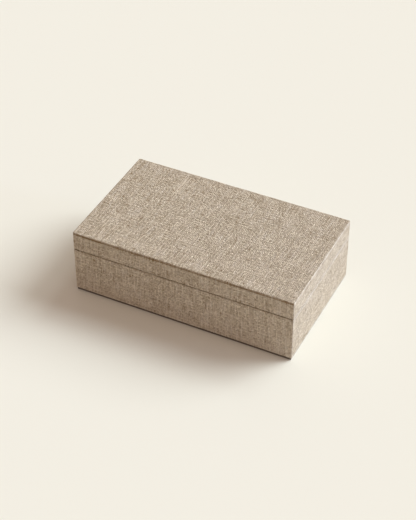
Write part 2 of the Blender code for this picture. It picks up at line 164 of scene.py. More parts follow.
# %% [markdown]
# ## Formulas made of nodes
# Both the cloth's shape and its weave follow rules, and in Blender a rule is a chain of small math nodes. Wired
# one by one, they hide the formula. The small class below wraps a node's output, so that `+`, `-`, `*` and `/`
# add the right node by themselves. The same class serves geometry trees and shader trees.

# %% A node's output that can stand in a formula
class Field:
    """A node's output. Arithmetic on it adds math nodes to its tree."""

    def __init__(self, tree, socket):
        self.tree = tree
        self.socket = socket

    def math(self, operation, *others):
        step = self.tree.nodes.new("ShaderNodeMath")
        step.operation = operation
        for socket, value in zip(step.inputs, (self, *others)):
            feed(self.tree, socket, value)
        return Field(self.tree, step.outputs[0])

    def __add__(self, other):
        return self.math("ADD", other)

    def __sub__(self, other):
        return self.math("SUBTRACT", other)

    def __mul__(self, other):
        return self.math("MULTIPLY", other)

    def __truediv__(self, other):
        return self.math("DIVIDE", other)

    def clamped(self, low, high):
        return self.math("MAXIMUM", low).math("MINIMUM", high)


def feed(tree, socket, value):
    """Links a field to a socket, or sets the socket's own value."""
    if isinstance(value, Field):
        tree.links.new(value.socket, socket)
    else:
        socket.default_value = value


def pick(sockets, name):
    """The socket of that name that the node uses in its present mode."""
    return next(socket for socket in sockets if socket.enabled and name in (socket.name, ""))


# %% Helpers that add nodes and groups
def add_node(tree, kind, values, output="", **settings):
    """Adds a node, feeds its inputs by name and returns one output, the first if none is named."""
    node = tree.nodes.new(kind)
    for setting, choice in settings.items():
        setattr(node, setting, choice)
    for name, value in values.items():
        feed(tree, pick(node.inputs, name), value)
    return Field(tree, pick(node.outputs, output))


def vector_of(tree, x, y, z=0.0):
    return add_node(tree, "ShaderNodeCombineXYZ", {"X": x, "Y": y, "Z": z})


def parts_of(tree, vector):
    """The x, y and z of a vector as three fields."""
    node = tree.nodes.new("ShaderNodeSeparateXYZ")
    feed(tree, node.inputs["Vector"], vector)
    return [Field(tree, socket) for socket in node.outputs]


def scaled(tree, vector, factor):
    return add_node(tree, "ShaderNodeVectorMath", {"Vector": vector, "Scale": factor}, operation="SCALE")


def new_tree(name, kind, inputs, outputs):
    """A tree with named inputs and outputs. Returns it with its inputs as fields, by name."""
    tree = bpy.data.node_groups.new(name, kind)
    for label, socket_type, value in inputs:
        socket = tree.interface.new_socket(name=label, in_out="INPUT", socket_type=socket_type)
        if value is not None:
            socket.default_value = value
    for label, socket_type in outputs:
        tree.interface.new_socket(name=label, in_out="OUTPUT", socket_type=socket_type)
    start = tree.nodes.new("NodeGroupInput")
    return tree, {label: Field(tree, start.outputs[label]) for label, _, _ in inputs}


def close_tree(tree, results):
    """Feeds the tree's outputs by name, and lays its nodes out in columns from left to right."""
    end = tree.nodes.new("NodeGroupOutput")
    for label, value in results.items():
        feed(tree, end.inputs[label], value)
    arrange(tree)
    return tree


def arrange(tree, column_width=190, row_height=160):
    """Gives each node a place to the right of what feeds it, so that the tree can be read."""
    column = {node.name: 0 for node in tree.nodes}
    for _ in range(len(tree.nodes)):
        moved = False
        for link in tree.links:
            needed = column[link.from_node.name] + 1
            if column[link.to_node.name] < needed:
                column[link.to_node.name] = needed
                moved = True
        if not moved:
            break
    filled = {}
    for node in tree.nodes:
        place = column[node.name]
        filled[place] = filled.get(place, 0) + 1
        node.location = (place * column_width, -filled[place] * row_height)


def use_group(tree, group, values, output):
    """Places a node group in a tree and returns one of its outputs, or several as a list."""
    node = tree.nodes.new(tree.bl_idname.replace("Tree", "Group"))
    node.node_tree = group
    for name, value in values.items():
        feed(tree, node.inputs[name], value)
    if isinstance(output, str):
        return Field(tree, node.outputs[output])
    return [Field(tree, node.outputs[name]) for name in output]


# %% [markdown]
# ## The rule behind the wrapped cloth
# The linen is glued round the boards in four sides that meet in mitres at the corners. On one side, every thread
# that crosses it takes the same path: over the top, down the wall, round the rim and up inside. So a side is a
# rule: a *section* (how far in from the face, and how high) carried along the side. At its ends the section goes
# round an eighth of a turn, up to the mitre.
#
# Geometry nodes suit such a shape, because the rule stays visible and its sizes stay named. The tree also stores
# where each point lies on the flat, uncut cloth. The weave reads that later, so the threads run straight over
# every fold, as they do on a real box.

# %% Tree: one side of a wrapped piece, from mitre to mitre
SIDE_INPUTS = [
    ("Section", "NodeSocketGeometry", None),
    ("Start Inset", "NodeSocketFloat", 0.0),
    ("Half Along", "NodeSocketFloat", 0.1),
    ("Half Across", "NodeSocketFloat", 0.1),
    ("Corner Radius", "NodeSocketFloat", 0.002),
    ("Corner Columns", "NodeSocketInt", 3),
    ("Wall Columns", "NodeSocketInt", 100),
    ("Turn", "NodeSocketFloat", 0.0),
]


def build_side_tree():
    tree, given = new_tree("wrapped_side", "GeometryNodeTree", SIDE_INPUTS, [("Mesh", "NodeSocketGeometry")])
    section, radius = given["Section"], given["Corner Radius"]
    corner, wall = given["Corner Columns"], given["Wall Columns"]
    rows = add_node(
        tree, "GeometryNodeAttributeDomainSize", {"Geometry": section}, "Point Count", component="CURVE"
    )
    spans = corner * 2.0 + wall
    grid = add_node(tree, "GeometryNodeMeshGrid", {
        "Size X": spans, "Size Y": rows - 1.0, "Vertices X": spans + 1.0, "Vertices Y": rows,
    })
    place = add_node(tree, "GeometryNodeInputPosition", {})
    grid_x, grid_y, _ = parts_of(tree, place)
    column = grid_x + spans / 2.0
    row = (grid_y + (rows - 1.0) / 2.0).math("ROUND")

    def read(value, kind):
        """What the section holds at this row."""
        source = {"Geometry": section, "Value": value, "Index": row}
        return add_node(tree, "GeometryNodeSampleIndex", source, data_type=kind, domain="POINT")

    # Along the side: an eighth of a turn, the straight wall, and an eighth of a turn again
    first = (column / corner).clamped(0.0, 1.0)
    middle = ((column - corner) / wall).clamped(0.0, 1.0)
    last = ((column - corner - wall) / corner).clamped(0.0, 1.0)
    angle = (first + last - 1.0) * (math.pi / 4)
    core = (middle * 2.0 - 1.0) * (given["Half Along"] - radius)

    # Across it: the section's own inset, height and length at this row
    inset, height, _ = parts_of(tree, read(place, "FLOAT_VECTOR"))
    reach = read(add_node(tree, "GeometryNodeSplineParameter", {}, "Length"), "FLOAT")
    section_fold = read(add_node(tree, "GeometryNodeInputRadius", {}), "FLOAT")

    # Each row is the outline drawn in by the inset, and its corner radius shrinks as much
    ring = (radius - inset).math("MAXIMUM", 0.0)
    drawn_in = (given["Half Along"] - inset - ring) / (given["Half Along"] - radius)
    along = core * drawn_in
    face = given["Half Across"] - inset - ring
    spot = vector_of(
        tree,
        along + ring * angle.math("SINE"),
        (face + ring * angle.math("COSINE")) * -1.0,
        height,
    )
    flat_spot = vector_of(tree, along + ring * angle, (given["Half Across"] - given["Start Inset"] + reach) * -1.0)
    fold = section_fold.math("MAXIMUM", ((last - first + 1.0) * 2.0).clamped(0.0, 1.0))

    def turned(vector):
        return add_node(
            tree, "ShaderNodeVectorRotate", {"Vector": vector, "Angle": given["Turn"]}, rotation_type="Z_AXIS"
        )

    with_uv = add_node(
        tree, "GeometryNodeStoreNamedAttribute",
        {"Geometry": grid, "Name": "cloth_uv", "Value": turned(flat_spot)},
        data_type="FLOAT2", domain="CORNER",
    )
    with_fold = add_node(
        tree, "GeometryNodeStoreNamedAttribute",
        {"Geometry": with_uv, "Name": "fold", "Value": fold},
        data_type="FLOAT", domain="POINT",
    )
    mesh = add_node(tree, "GeometryNodeSetPosition", {"Geometry": with_fold, "Position": turned(spot)})
    return close_tree(tree, {"Mesh": mesh})


side_tree = build_side_tree()
print("side tree has", len(side_tree.nodes), "nodes")

# %% [markdown]
# ## Four sides make a wrap
# The whole wrap is the same group placed four times, each turned by a right angle, joined and merged along the
# mitres. Glued cloth is never quite flat, so the last step moves each point along its normal by a little noise:
# about a tenth of a millimetre, in soft patches as wide as a fingertip.

# %% Tree: a closed wrap from four sides
WRAP_INPUTS = [
    ("Section", "NodeSocketObject", None),
    ("Start Inset", "NodeSocketFloat", 0.0),
    ("Half Length", "NodeSocketFloat", 0.15),
    ("Half Depth", "NodeSocketFloat", 0.09),
    ("Corner Radius", "NodeSocketFloat", 0.002),
    ("Corner Columns", "NodeSocketInt", 3),
    ("Long Columns", "NodeSocketInt", 140),
    ("Short Columns", "NodeSocketInt", 80),
    ("Relief", "NodeSocketFloat", 0.0001),
    ("Patch Size", "NodeSocketFloat", 0.012),
    ("Cloth", "NodeSocketMaterial", None),
]
MERGE = 0.01 * MM


def build_wrap_tree():
    inputs = [("Geometry", "NodeSocketGeometry", None), *WRAP_INPUTS]
    tree, given = new_tree("four_sided_wrap", "GeometryNodeTree", inputs, [("Geometry", "NodeSocketGeometry")])
    section = add_node(tree, "GeometryNodeObjectInfo", {"Object": given["Section"]}, "Geometry")
    sides = tree.nodes.new("GeometryNodeJoinGeometry")
    for quarter in range(4):
        long_side = quarter % 2 == 0
        side = use_group(tree, side_tree, {
            "Section": section,
            "Start Inset": given["Start Inset"],
            "Half Along": given["Half Length" if long_side else "Half Depth"],
            "Half Across": given["Half Depth" if long_side else "Half Length"],
            "Corner Radius": given["Corner Radius"],
            "Corner Columns": given["Corner Columns"],
            "Wall Columns": given["Long Columns" if long_side else "Short Columns"],
            "Turn": quarter * math.pi / 2,
        }, "Mesh")
        tree.links.new(side.socket, sides.inputs[0])
    merged = add_node(
        tree, "GeometryNodeMergeByDistance", {"Geometry": Field(tree, sides.outputs[0]), "Distance": MERGE}
    )
    return finish_cloth(tree, given, merged)


def finish_cloth(tree, given, mesh):
    """The end of a cloth tree: a soft relief, one real mesh, and its material."""
    place = add_node(tree, "GeometryNodeInputPosition", {})
    spot = scaled(tree, place, given["Patch Size"].math("POWER", -1.0))
    patches = add_node(tree, "ShaderNodeTexNoise", {"Vector": spot, "Scale": 1.0, "Detail": 2.0})
    push = (patches - 0.5) * given["Relief"] * 4.0
    offset = scaled(tree, add_node(tree, "GeometryNodeInputNormal", {}), push)
    moved = add_node(tree, "GeometryNodeSetPosition", {"Geometry": mesh, "Offset": offset})
    real = add_node(tree, "GeometryNodeRealizeInstances", {"Geometry": moved})
    dressed = add_node(tree, "GeometryNodeSetMaterial", {"Geometry": real, "Material": given["Cloth"]})
    return close_tree(tree, {"Geometry": dressed})


wrap_tree = build_wrap_tree()
print("wrap tree has", len(wrap_tree.nodes), "nodes")

# %% [markdown]
# ## Drawing a section
# A section is a polyline with rounded corners. Only its corners are written down: how far in, how high, and how
# round. The points in between are worked out, closely spaced where the cloth shows and far apart where it lies
# hidden against a board. The curve's own radius channel carries one more thing along: 1 where the cloth is folded,
# 0 where it is flat. The linen uses that later for a painted highlight along the folds of the right-hand end.

# %% Helpers: sections as curves
ARC_STEPS = 4


def rounded_path(corners):
    """Points of a polyline as (spot, fold). Each corner is (inset, height, radius, spacing after it)."""
    spots = [Vector((inset, height)) for inset, height, _, _ in corners]
    path = []
    for i, (spot, (_, _, radius, spacing)) in enumerate(zip(spots, corners)):
        if radius > 0:
            before = (spots[i - 1] - spot).normalized()
            after = (spots[i + 1] - spot).normalized()
            half_turn = (math.pi - before.angle(after)) / 2
            centre = spot + (before + after).normalized() * radius / math.cos(half_turn)
            start = spot + before * radius * math.tan(half_turn) - centre
            end = spot + after * radius * math.tan(half_turn) - centre
            spokes = [start.lerp(end, step / ARC_STEPS) for step in range(ARC_STEPS + 1)]
            stretch = [(centre + spoke.normalized() * radius, 1.0) for spoke in spokes]
        else:
            stretch = [(spot, 0.0)]
        if path:
            last_spot = path[-1][0]
            run = stretch[0][0] - last_spot
            pieces = max(1, round(run.length / last_spacing))
            path += [(last_spot + run * k / pieces, 0.0) for k in range(1, pieces)]
        path += stretch
        last_spacing = spacing
    return path


def section_curve(name, corners):
    """The path as a curve object: x is the inset, y the height, and the radius says where it is folded."""
    path = rounded_path(corners)
    curve = bpy.data.curves.new(name, "CURVE")
    curve.dimensions = "3D"
    spline = curve.splines.new("POLY")
    spline.points.add(len(path) - 1)
    for point, (spot, fold) in zip(spline.points, path):
        point.co = (spot.x, spot.y, 0.0, 1.0)
        point.radius = fold
    helper = bpy.data.objects.new(name, curve)
    bpy.context.scene.collection.objects.link(helper)
    return helper


# %% [markdown]
# ## From a tree to a plain mesh
# A geometry tree runs on a host object. Its named inputs are set by their identifiers, and then the evaluated
# result is copied into a mesh of its own. What is left is an ordinary piece without modifiers: its faces point
# out, its fine curves are smooth and its sharp edges are kept.

# %% Helpers: run a tree, keep the mesh
SHARP_ANGLE = math.radians(38)


def run_tree(name, tree, inputs, start_mesh=None):
    """A host object on which the tree runs with the given inputs, by name."""
    host = bpy.data.objects.new(name, start_mesh or bpy.data.meshes.new(name))
    step = host.modifiers.new(tree.name, "NODES")
    step.node_group = tree
    identifiers = {item.name: item.identifier for item in tree.interface.items_tree if item.in_out == "INPUT"}
    for label, value in inputs.items():
        step[identifiers[label]] = value
    bpy.context.scene.collection.objects.link(host)
    return host


def keep_mesh(host, helpers=()):
    """Turns a host's evaluated shape into a plain piece, and removes the host and its helpers."""
    graph = bpy.context.evaluated_depsgraph_get()
    mesh = bpy.data.meshes.new_from_object(
        host.evaluated_get(graph), preserve_all_data_layers=True, depsgraph=graph
    )
    name, start_mesh = host.name, host.data
    for spent in (host, *helpers):
        bpy.data.objects.remove(spent)
    bpy.data.meshes.remove(start_mesh)
    mesh.name = name
    piece = bpy.data.objects.new(name, mesh)
    bpy.context.scene.collection.objects.link(piece)
    tidy_faces(mesh)
    return piece


def tidy_faces(mesh):
    """Closes open ends, points faces out and shades what is round as round."""
    bm = bmesh.new()
    bm.from_mesh(mesh)
    bmesh.ops.dissolve_degenerate(bm, dist=MERGE / 10, edges=bm.edges)
    ends = [edge for edge in bm.edges if edge.is_boundary]
    if ends:
        bmesh.ops.holes_fill(bm, edges=ends, sides=0)
    bmesh.ops.recalc_face_normals(bm, faces=bm.faces)
    bm.to_mesh(mesh)
    open_edges = sum(not edge.is_manifold for edge in bm.edges)
    triangles = sum(len(face.verts) - 2 for face in bm.faces)
    bm.free()
    mesh.shade_smooth()
    mesh.set_sharp_from_angle(angle=SHARP_ANGLE)
    print(f"{mesh.name}: {triangles} triangles, {open_edges} open edges")


# %% [markdown]
# ## A weave in shader nodes
# Seen close, plain-weave linen is two sets of yarns that pass over and under each other. The yarns are spun from
# uneven flax, so each one swells and thins along its length, drifts a little from straight, and changes tone. A
# picture of cloth would repeat and blur. The group below computes the yarns instead, from the flat cloth
# coordinates: which two yarns cross here, how thick each is, and which one is on top.
#
# Linen, lining and pads all use this group, each with its own yarn pitch.

# %% Group: plain weave
def build_weave():
    tree, given = new_tree(
        "plain_weave",
        "ShaderNodeTree",
        [
            ("Vector", "NodeSocketVector", None),
            ("Pitch", "NodeSocketFloat", 0.002),
            ("Weft Ratio", "NodeSocketFloat", 1.0),
            ("Thick And Thin", "NodeSocketFloat", 0.0),
            ("Girth", "NodeSocketFloat", 0.4),
            ("Unevenness", "NodeSocketFloat", 0.3),
            ("Patchiness", "NodeSocketFloat", 0.0),
            ("Lump Length", "NodeSocketFloat", 2.0),
            ("Drift", "NodeSocketFloat", 0.6),
        ],
        [
            ("Height", "NodeSocketFloat"),
            ("Tone", "NodeSocketFloat"),
            ("Hollow", "NodeSocketFloat"),
            ("Streak", "NodeSocketFloat"),
        ],
    )
    flat_x, flat_y, _ = parts_of(tree, given["Vector"])
    raw_u, raw_v = flat_x / given["Pitch"], flat_y / given["Pitch"] / given["Weft Ratio"]

    def noise(x, y, seed, detail=1.0):
        spot = vector_of(tree, x, y, seed)
        return add_node(tree, "ShaderNodeTexNoise", {"Vector": spot, "Scale": 1.0, "Detail": detail})

    u = raw_u + (noise(raw_u / 3.0, raw_v / 9.0, 0.0) - 0.5) * given["Drift"]
    v = raw_v + (noise(raw_u / 9.0, raw_v / 3.0, 5.0) - 0.5) * given["Drift"]
    column, row = u.math("FLOOR"), v.math("FLOOR")
    side_u, side_v = u - column - 0.5, v - row - 0.5
    odd_column, odd_row = column.math("FLOORED_MODULO", 2.0), row.math("FLOORED_MODULO", 2.0)
    odd = (odd_column + odd_row).math("FLOORED_MODULO", 2.0)
    over = odd * -2.0 + 1.0
    doubled = (odd_column + odd_row - 1.0) * given["Thick And Thin"]
    patches = (noise(raw_u / 7.0, raw_v / 7.0, 70.0, 2.0) - 0.5) * given["Patchiness"]
    tightness = given["Girth"] + doubled + patches

    def yarn(beside, lengthwise_wave, number, lengthwise, seed, way):
        """Height and tone of one set of yarns."""
        lumps = noise(number * 7.3, lengthwise / given["Lump Length"], seed)
        girth = (lumps * 2.0 - 1.0) * given["Unevenness"] + tightness
        round_top = (beside / girth).math("POWER", 2.0).math("MULTIPLY_ADD", -1.0, 1.0).math("MAXIMUM", 0.0)
        lift = over * lengthwise_wave * (0.3 * way) + 0.3
        height = round_top.math("SQRT") * (girth + lift) - 0.3
        tone = noise(number * 3.1, lengthwise / given["Lump Length"] / 1.8, seed + 10.0, 2.0)
        return height, tone

    warp, warp_tone = yarn(side_u, (side_v * math.pi).math("COSINE"), column, v, 20.0, 1.0)
    weft, weft_tone = yarn(side_v, (side_u * math.pi).math("COSINE"), row, u, 40.0, -1.0)
    warp_shows = warp.math("GREATER_THAN", weft)
    fibres = noise(u * 5.0, v * 5.0, 60.0, 2.0)
    tone = weft_tone + (warp_tone - weft_tone) * warp_shows + (fibres - 0.5) * 0.35
    height = warp.math("MAXIMUM", weft)
    hollow = ((height + 0.3) / 0.35).clamped(0.0, 1.0).math("MULTIPLY_ADD", -1.0, 1.0)

    # Yarn from one bobbin lies side by side, so neighbours are pale or dark together for a few centimetres
    streak = noise(raw_u / 1.3, raw_v / 13.0, 80.0, 2.0) * 0.6 + noise(raw_u / 13.0, raw_v / 1.3, 90.0, 2.0) * 0.4
    return close_tree(tree, {"Height": height, "Tone": tone, "Hollow": hollow, "Streak": streak})


weave = build_weave()
print("weave group has", len(weave.nodes), "nodes")

# %% [markdown]
# Every surface of the box also has a slow, soft unevenness of colour, from dye, glue, light and years. That
# mottle is a second shared group. It reads Object coordinates, so it crosses folds and seams without a break.

# %% Group: mottle
def build_mottle():
    tree, given = new_tree(
        "mottle",
        "ShaderNodeTree",
        [
            ("Vector", "NodeSocketVector", None),
            ("Patch Size", "NodeSocketFloat", 0.03),
            ("Depth", "NodeSocketFloat", 0.05),
        ],
        [("Shade", "NodeSocketFloat")],
    )
    spot = scaled(tree, given["Vector"], given["Patch Size"].math("POWER", -1.0))
    cloud = add_node(tree, "ShaderNodeTexNoise", {"Vector": spot, "Scale": 1.0, "Detail": 3.0, "Roughness": 0.55})
    shade = (cloud - 0.5) * given["Depth"] * 2.0 + 1.0
    return close_tree(tree, {"Shade": shade})


mottle = build_mottle()
print("mottle group has", len(mottle.nodes), "nodes")


# %% [markdown]
# The box has worn, and not the same way everywhere: the end and the foot of the front have worn smooth. The
# other marks are painted light and painted shade. Painted light makes the cloth paler towards the right, the
# right-hand end paler towards its top, and the foot of the front paler. Painted shade darkens the front in a line
# just under the lid's edge and along the seam. The group turns a place on the box into four masks, and the
# material decides what each of them does.

# %% Group: age
def build_age():
    tree, given = new_tree(
        "age",
        "ShaderNodeTree",
        [
            ("Vector", "NodeSocketVector", None),
            ("Half Length", "NodeSocketFloat", 0.15),
            ("Half Depth", "NodeSocketFloat", 0.09),
            ("Height", "NodeSocketFloat", 0.09),
            ("Seam Height", "NodeSocketFloat", 0.07),
        ],
        [
            ("Bleached", "NodeSocketFloat"),
            ("Worn", "NodeSocketFloat"),
            ("On End", "NodeSocketFloat"),
            ("Grime", "NodeSocketFloat"),
        ],
    )
    x, y, z = parts_of(tree, given["Vector"])
    to_the_right = x / given["Half Length"]
    level = z / given["Height"]
    on_end = ((x - given["Half Length"]) / (0.6 * MM) + 1.0).clamped(0.0, 1.0)
    on_front = ((y * -1.0 - given["Half Depth"]) / (0.6 * MM) + 1.0).clamped(0.0, 1.0)

    def line(height, reach):
        """1 at that height, falling to 0 at the reach above and below."""
        return ((z - height).math("ABSOLUTE") / reach).math("MULTIPLY_ADD", -1.0, 1.0).math("MAXIMUM", 0.0)

    # Painted shade, on the front only: a dark line just under the lid's top edge and another along the seam.
    under_edge_shade = line(given["Height"] - 2.2 * MM, 2.0 * MM)
    seam_shade = line(given["Seam Height"], 1.6 * MM)
    foot = (level * -1.0 + 0.6).math("MAXIMUM", 0.0)
    # Painted light: the cloth is paler towards the right, the end paler towards its top, and the foot of the front
    # paler.
    facing = to_the_right * 0.5 + 0.5
    painted_light = facing * 0.06 + on_end * level * 0.08 + on_front * foot * 0.22
    worn = on_end * 0.24 + on_front * (foot * 0.4 + 0.05)
    painted_shade = on_front * (under_edge_shade * 0.95 + seam_shade * 1.2)
    return close_tree(tree, {"Bleached": painted_light, "Worn": worn, "On End": on_end, "Grime": painted_shade})


age = build_age()
print("age group has", len(age.nodes), "nodes")


# %% Helpers: new materials
def new_material(name, **shader_values):
    """A material with its shader node and tree. Plain values are set on the shader's own sockets."""
    material = bpy.data.materials.new(name)
    material.use_nodes = True
    shader = material.node_tree.nodes["Principled BSDF"]
    for label, value in shader_values.items():
        shader.inputs[label.replace("_", " ")].default_value = value
    return material, material.node_tree, shader


def object_spot(tree):
    return add_node(tree, "ShaderNodeTexCoord", {}, "Object")


def blended(tree, factor, first, second):
    """A mix of two colours, plain or fields. A factor of 0 gives the first."""
    first, second = [c if isinstance(c, Field) else (*c, 1.0) for c in (first, second)]
    return add_node(tree, "ShaderNodeMix", {"Factor": factor, "A": first, "B": second}, data_type="RGBA")


def bump(tree, height, distance, strength=1.0):
    return add_node(tree, "ShaderNodeBump", {"Height": height, "Distance": distance, "Strength": strength})


# %% [markdown]
# ## The linen
# The outer cloth is coarse: its yarns lie 2.1 mm apart one way and 2.3 mm the other, thick ones take turns with
# thin ones, and all swell and thin every few millimetres. That gives the grainy, streaky look of the photograph.
# The colour runs between a darker and a paler flax by yarn. It darkens towards a warm earth colour with painted
# shade in the open hollows between the yarns and in the shade lines of the age group, where a yarn streak is dark,
# and with soil where the cloth is worn. It goes pale with painted light, with a painted highlight along the folds of
# the right-hand end, and where a yarn streak is pale. Dark yarn is therefore browner as well as darker, as in the
# photograph. The end and the front have worn smoother than the top, so their relief is lower, their yarns are
# more alike in tone, and they are a little soiled.

# %% Material: oatmeal linen
LINEN_PITCH = 2.1 * MM
WEFT_RATIO = 1.1
UNEVENNESS = 0.6
LUMP_LENGTH = 1.7
DRIFT = 1.1
DARK_FLAX = (0.45, 0.34, 0.235)
PALE_FLAX = (0.95, 0.845, 0.685)
# The colours of painted shade and soil, and of painted light and pale streaks.
SHADE_AND_SOIL_BROWN = (0.24, 0.14, 0.05)
LIT_AND_PALE_FLAX = (0.92, 0.865, 0.83)
TONE_SPREAD = 1.9
HOLLOW_SHADE = 0.8
STREAK_DEPTH = 1.6
RELIEF = 0.86
WORN_SOIL = 0.3


def make_linen():
    material, tree, shader = new_material(
        "oatmeal_linen", Roughness=0.9, Specular_IOR_Level=0.1, Sheen_Weight=0.05, Sheen_Roughness=0.6
    )
    cloth = add_node(tree, "ShaderNodeUVMap", {}, uv_map="cloth_uv")
    height, tone, hollow, streak = use_group(
        tree, weave,
        {
            "Vector": cloth, "Pitch": LINEN_PITCH, "Weft Ratio": WEFT_RATIO, "Girth": 0.37, "Thick And Thin": 0.07,
            "Unevenness": UNEVENNESS, "Patchiness": 0.40, "Lump Length": LUMP_LENGTH, "Drift": DRIFT,
        },
        ("Height", "Tone", "Hollow", "Streak"),
    )
    spot = object_spot(tree)
    shade = use_group(tree, mottle, {"Vector": spot, "Patch Size": 0.024, "Depth": 0.09}, "Shade")
    painted_light, worn, on_end, painted_shade = use_group(tree, age, {
        "Vector": spot, "Half Length": half_length, "Half Depth": half_depth,
        "Height": box_top, "Seam Height": (lid_rim + base_rim) / 2,
    }, ("Bleached", "Worn", "On End", "Grime"))
    fold = add_node(tree, "ShaderNodeAttribute", {}, "Fac", attribute_name="fold")
    left = worn * -1.0 + 1.0
    tone = (tone - 0.5) * (left * TONE_SPREAD) + 0.5
    flax = blended(tree, tone.clamped(0.0, 1.0), DARK_FLAX, PALE_FLAX)
    streak = streak * shade - 0.5
    # Painted shade in the weave's hollows and in the shade lines, dark streaks, and soil from wear.
    brown = hollow * HOLLOW_SHADE + (streak * -STREAK_DEPTH).math("MAXIMUM", 0.0) + painted_shade + worn * WORN_SOIL
    flax_with_shade_and_soil = blended(tree, brown.clamped(0.0, 1.0), flax, SHADE_AND_SOIL_BROWN)
    # A painted highlight along the folds of the right-hand end.
    fold_highlight = fold * on_end * 0.35
    # Pale streaks, painted light, and the painted highlight on the end's folds.
    pale = (streak * STREAK_DEPTH).math("MAXIMUM", 0.0) + painted_light + fold_highlight
    feed(tree, shader.inputs["Base Color"], blended(tree, pale.clamped(0.0, 1.0), flax_with_shade_and_soil, LIT_AND_PALE_FLAX))
    feed(tree, shader.inputs["Normal"], bump(tree, height, left * (LINEN_PITCH * RELIEF)))
    arrange(tree)
    return material


linen = make_linen()
print("linen yarns lie", round(LINEN_PITCH / MM, 2), "mm apart")

# %% [markdown]
# ## The lid's cloth
# Its section starts in the middle of the top, runs out to the edge, down the front, round the rim and up the
# inside of the board, where the real cloth ends under the pad. From there it comes back on its inner side, so the
# cloth has its true thickness.

# %% The lid's linen
EDGE_FOLD = 1.0 * MM
RIM_FOLD = 0.8 * MM
CORNER_RADIUS = 1.4 * MM
SHOWN_SPACING = 2.4 * MM
HIDDEN_SPACING = 12 * MM
LONG_COLUMNS = 132
SHORT_COLUMNS = 78


def wrap_inputs(section, start_inset, material, relief=0.08 * MM):
    return {
        "Section": section, "Start Inset": start_inset, "Half Length": half_length, "Half Depth": half_depth,
        "Corner Radius": CORNER_RADIUS, "Corner Columns": 3,
        "Long Columns": LONG_COLUMNS, "Short Columns": SHORT_COLUMNS, "Relief": relief, "Cloth": material,
    }


lid_flap_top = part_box("lid_top_board")[0].z - GLUE
lid_section = section_curve("lid_section", [
    (half_depth, box_top, 0.0, SHOWN_SPACING),
    (0.0, box_top, EDGE_FOLD, SHOWN_SPACING),
    (0.0, lid_rim, RIM_FOLD, SHOWN_SPACING),
    (flap_inset, lid_rim, RIM_FOLD, SHOWN_SPACING),
    (flap_inset, lid_flap_top, 0.0, CLOTH),
    (flap_inset - CLOTH, lid_flap_top, 0.0, HIDDEN_SPACING),
    (flap_inset - CLOTH, lid_rim + CLOTH, 0.0, HIDDEN_SPACING),
    (CLOTH, lid_rim + CLOTH, 0.0, HIDDEN_SPACING),
    (CLOTH, box_top - CLOTH, EDGE_FOLD - CLOTH, HIDDEN_SPACING),
    (half_depth, box_top - CLOTH, 0.0, 0.0),
])
lid_host = run_tree("lid_linen", wrap_tree, wrap_inputs(lid_section, half_depth, linen))

# %% [markdown]
# The base is wrapped the same way. Its cloth starts under the box, 15 mm in from the edge, where the felt covers
# its raw edge, and ends inside the rim, behind the lining.

# %% The base's linen
TURN_UNDER = 15 * MM
BASE_FLAP = 14 * MM

base_section = section_curve("base_section", [
    (TURN_UNDER, base_foot, 0.0, SHOWN_SPACING),
    (0.0, base_foot, EDGE_FOLD, SHOWN_SPACING),
    (0.0, base_rim, RIM_FOLD, SHOWN_SPACING),
    (flap_inset, base_rim, RIM_FOLD, SHOWN_SPACING),
    (flap_inset, base_rim - BASE_FLAP, 0.0, CLOTH),
    (flap_inset - CLOTH, base_rim - BASE_FLAP, 0.0, HIDDEN_SPACING),
    (flap_inset - CLOTH, base_rim - CLOTH, 0.0, HIDDEN_SPACING),
    (CLOTH, base_rim - CLOTH, 0.0, HIDDEN_SPACING),
    (CLOTH, base_foot + CLOTH, EDGE_FOLD - CLOTH, HIDDEN_SPACING),
    (TURN_UNDER, base_foot + CLOTH, 0.0, CLOTH),
    (TURN_UNDER, base_foot, 0.0, 0.0),
])
base_host = run_tree("base_linen", wrap_tree, wrap_inputs(base_section, TURN_UNDER, linen))

# %% [markdown]
# ## Seats for the hinges
# The hinges are let into the back of the rims, through the cloth and into the boards. A Boolean cuts both wraps
# with the same two blocks, each one a hinge's outline grown by the glue gap.

# %% Cut the hinge seats
HINGES = ("left_hinge", "right_hinge")


def seat_blocks():
    """One block round each closed hinge, from the inner face of the board to well behind the box."""
    bm = bmesh.new()
    for hinge in HINGES:
        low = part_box(hinge + "_base_leaf")[0] - Vector((GLUE, GLUE, GLUE))
        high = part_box(hinge + "_lid_leaf")[1] + Vector((GLUE, 0.0, GLUE))
        size = high - low + Vector((0.0, flap_inset, 0.0))
        block = bmesh.ops.create_cube(bm, size=1.0)["verts"]
        bmesh.ops.scale(bm, vec=size, verts=block)
        bmesh.ops.translate(bm, vec=low + size / 2, verts=block)
    mesh = bpy.data.meshes.new("seat_blocks")
    bm.to_mesh(mesh)
    bm.free()
    blocks = bpy.data.objects.new("seat_blocks", mesh)
    bpy.context.scene.collection.objects.link(blocks)
    return blocks


seats = seat_blocks()
for host in (lid_host, base_host):
    cut = host.modifiers.new("hinge_seats", "BOOLEAN")
    cut.operation = "DIFFERENCE"
    cut.object = seats
lid_linen = keep_mesh(lid_host, [lid_section])
base_linen = keep_mesh(base_host, [base_section, seats])

# %% [markdown]
# ## Slubs
# Flax is hard to spin evenly, so here and there a yarn swells to twice its width for a centimetre or two. On this
# box such slubs are the first thing that the eye finds on the lid. Painted on, they would stay flat in raking
# light. So each is a thin, tapered strand that lies half sunk in the cloth.
#
# Strands that follow a surface suit geometry nodes. A guide mesh holds one straight edge for each slub, and its
# points carry how thick the slub is. The tree turns the edges into curves, lays them on the cloth, gives them
# their thickness, and copies the cloth's own flat coordinates onto them.

# %% Tree: slubs laid on a cloth
SLUB_INPUTS = [
    ("Guides", "NodeSocketGeometry", None),
    ("Cloth", "NodeSocketObject", None),
    ("Points", "NodeSocketInt", 12),
    ("Wander", "NodeSocketFloat", 0.0006),
    ("Wave Length", "NodeSocketFloat", 0.008),
    ("Yarn", "NodeSocketMaterial", None),
]


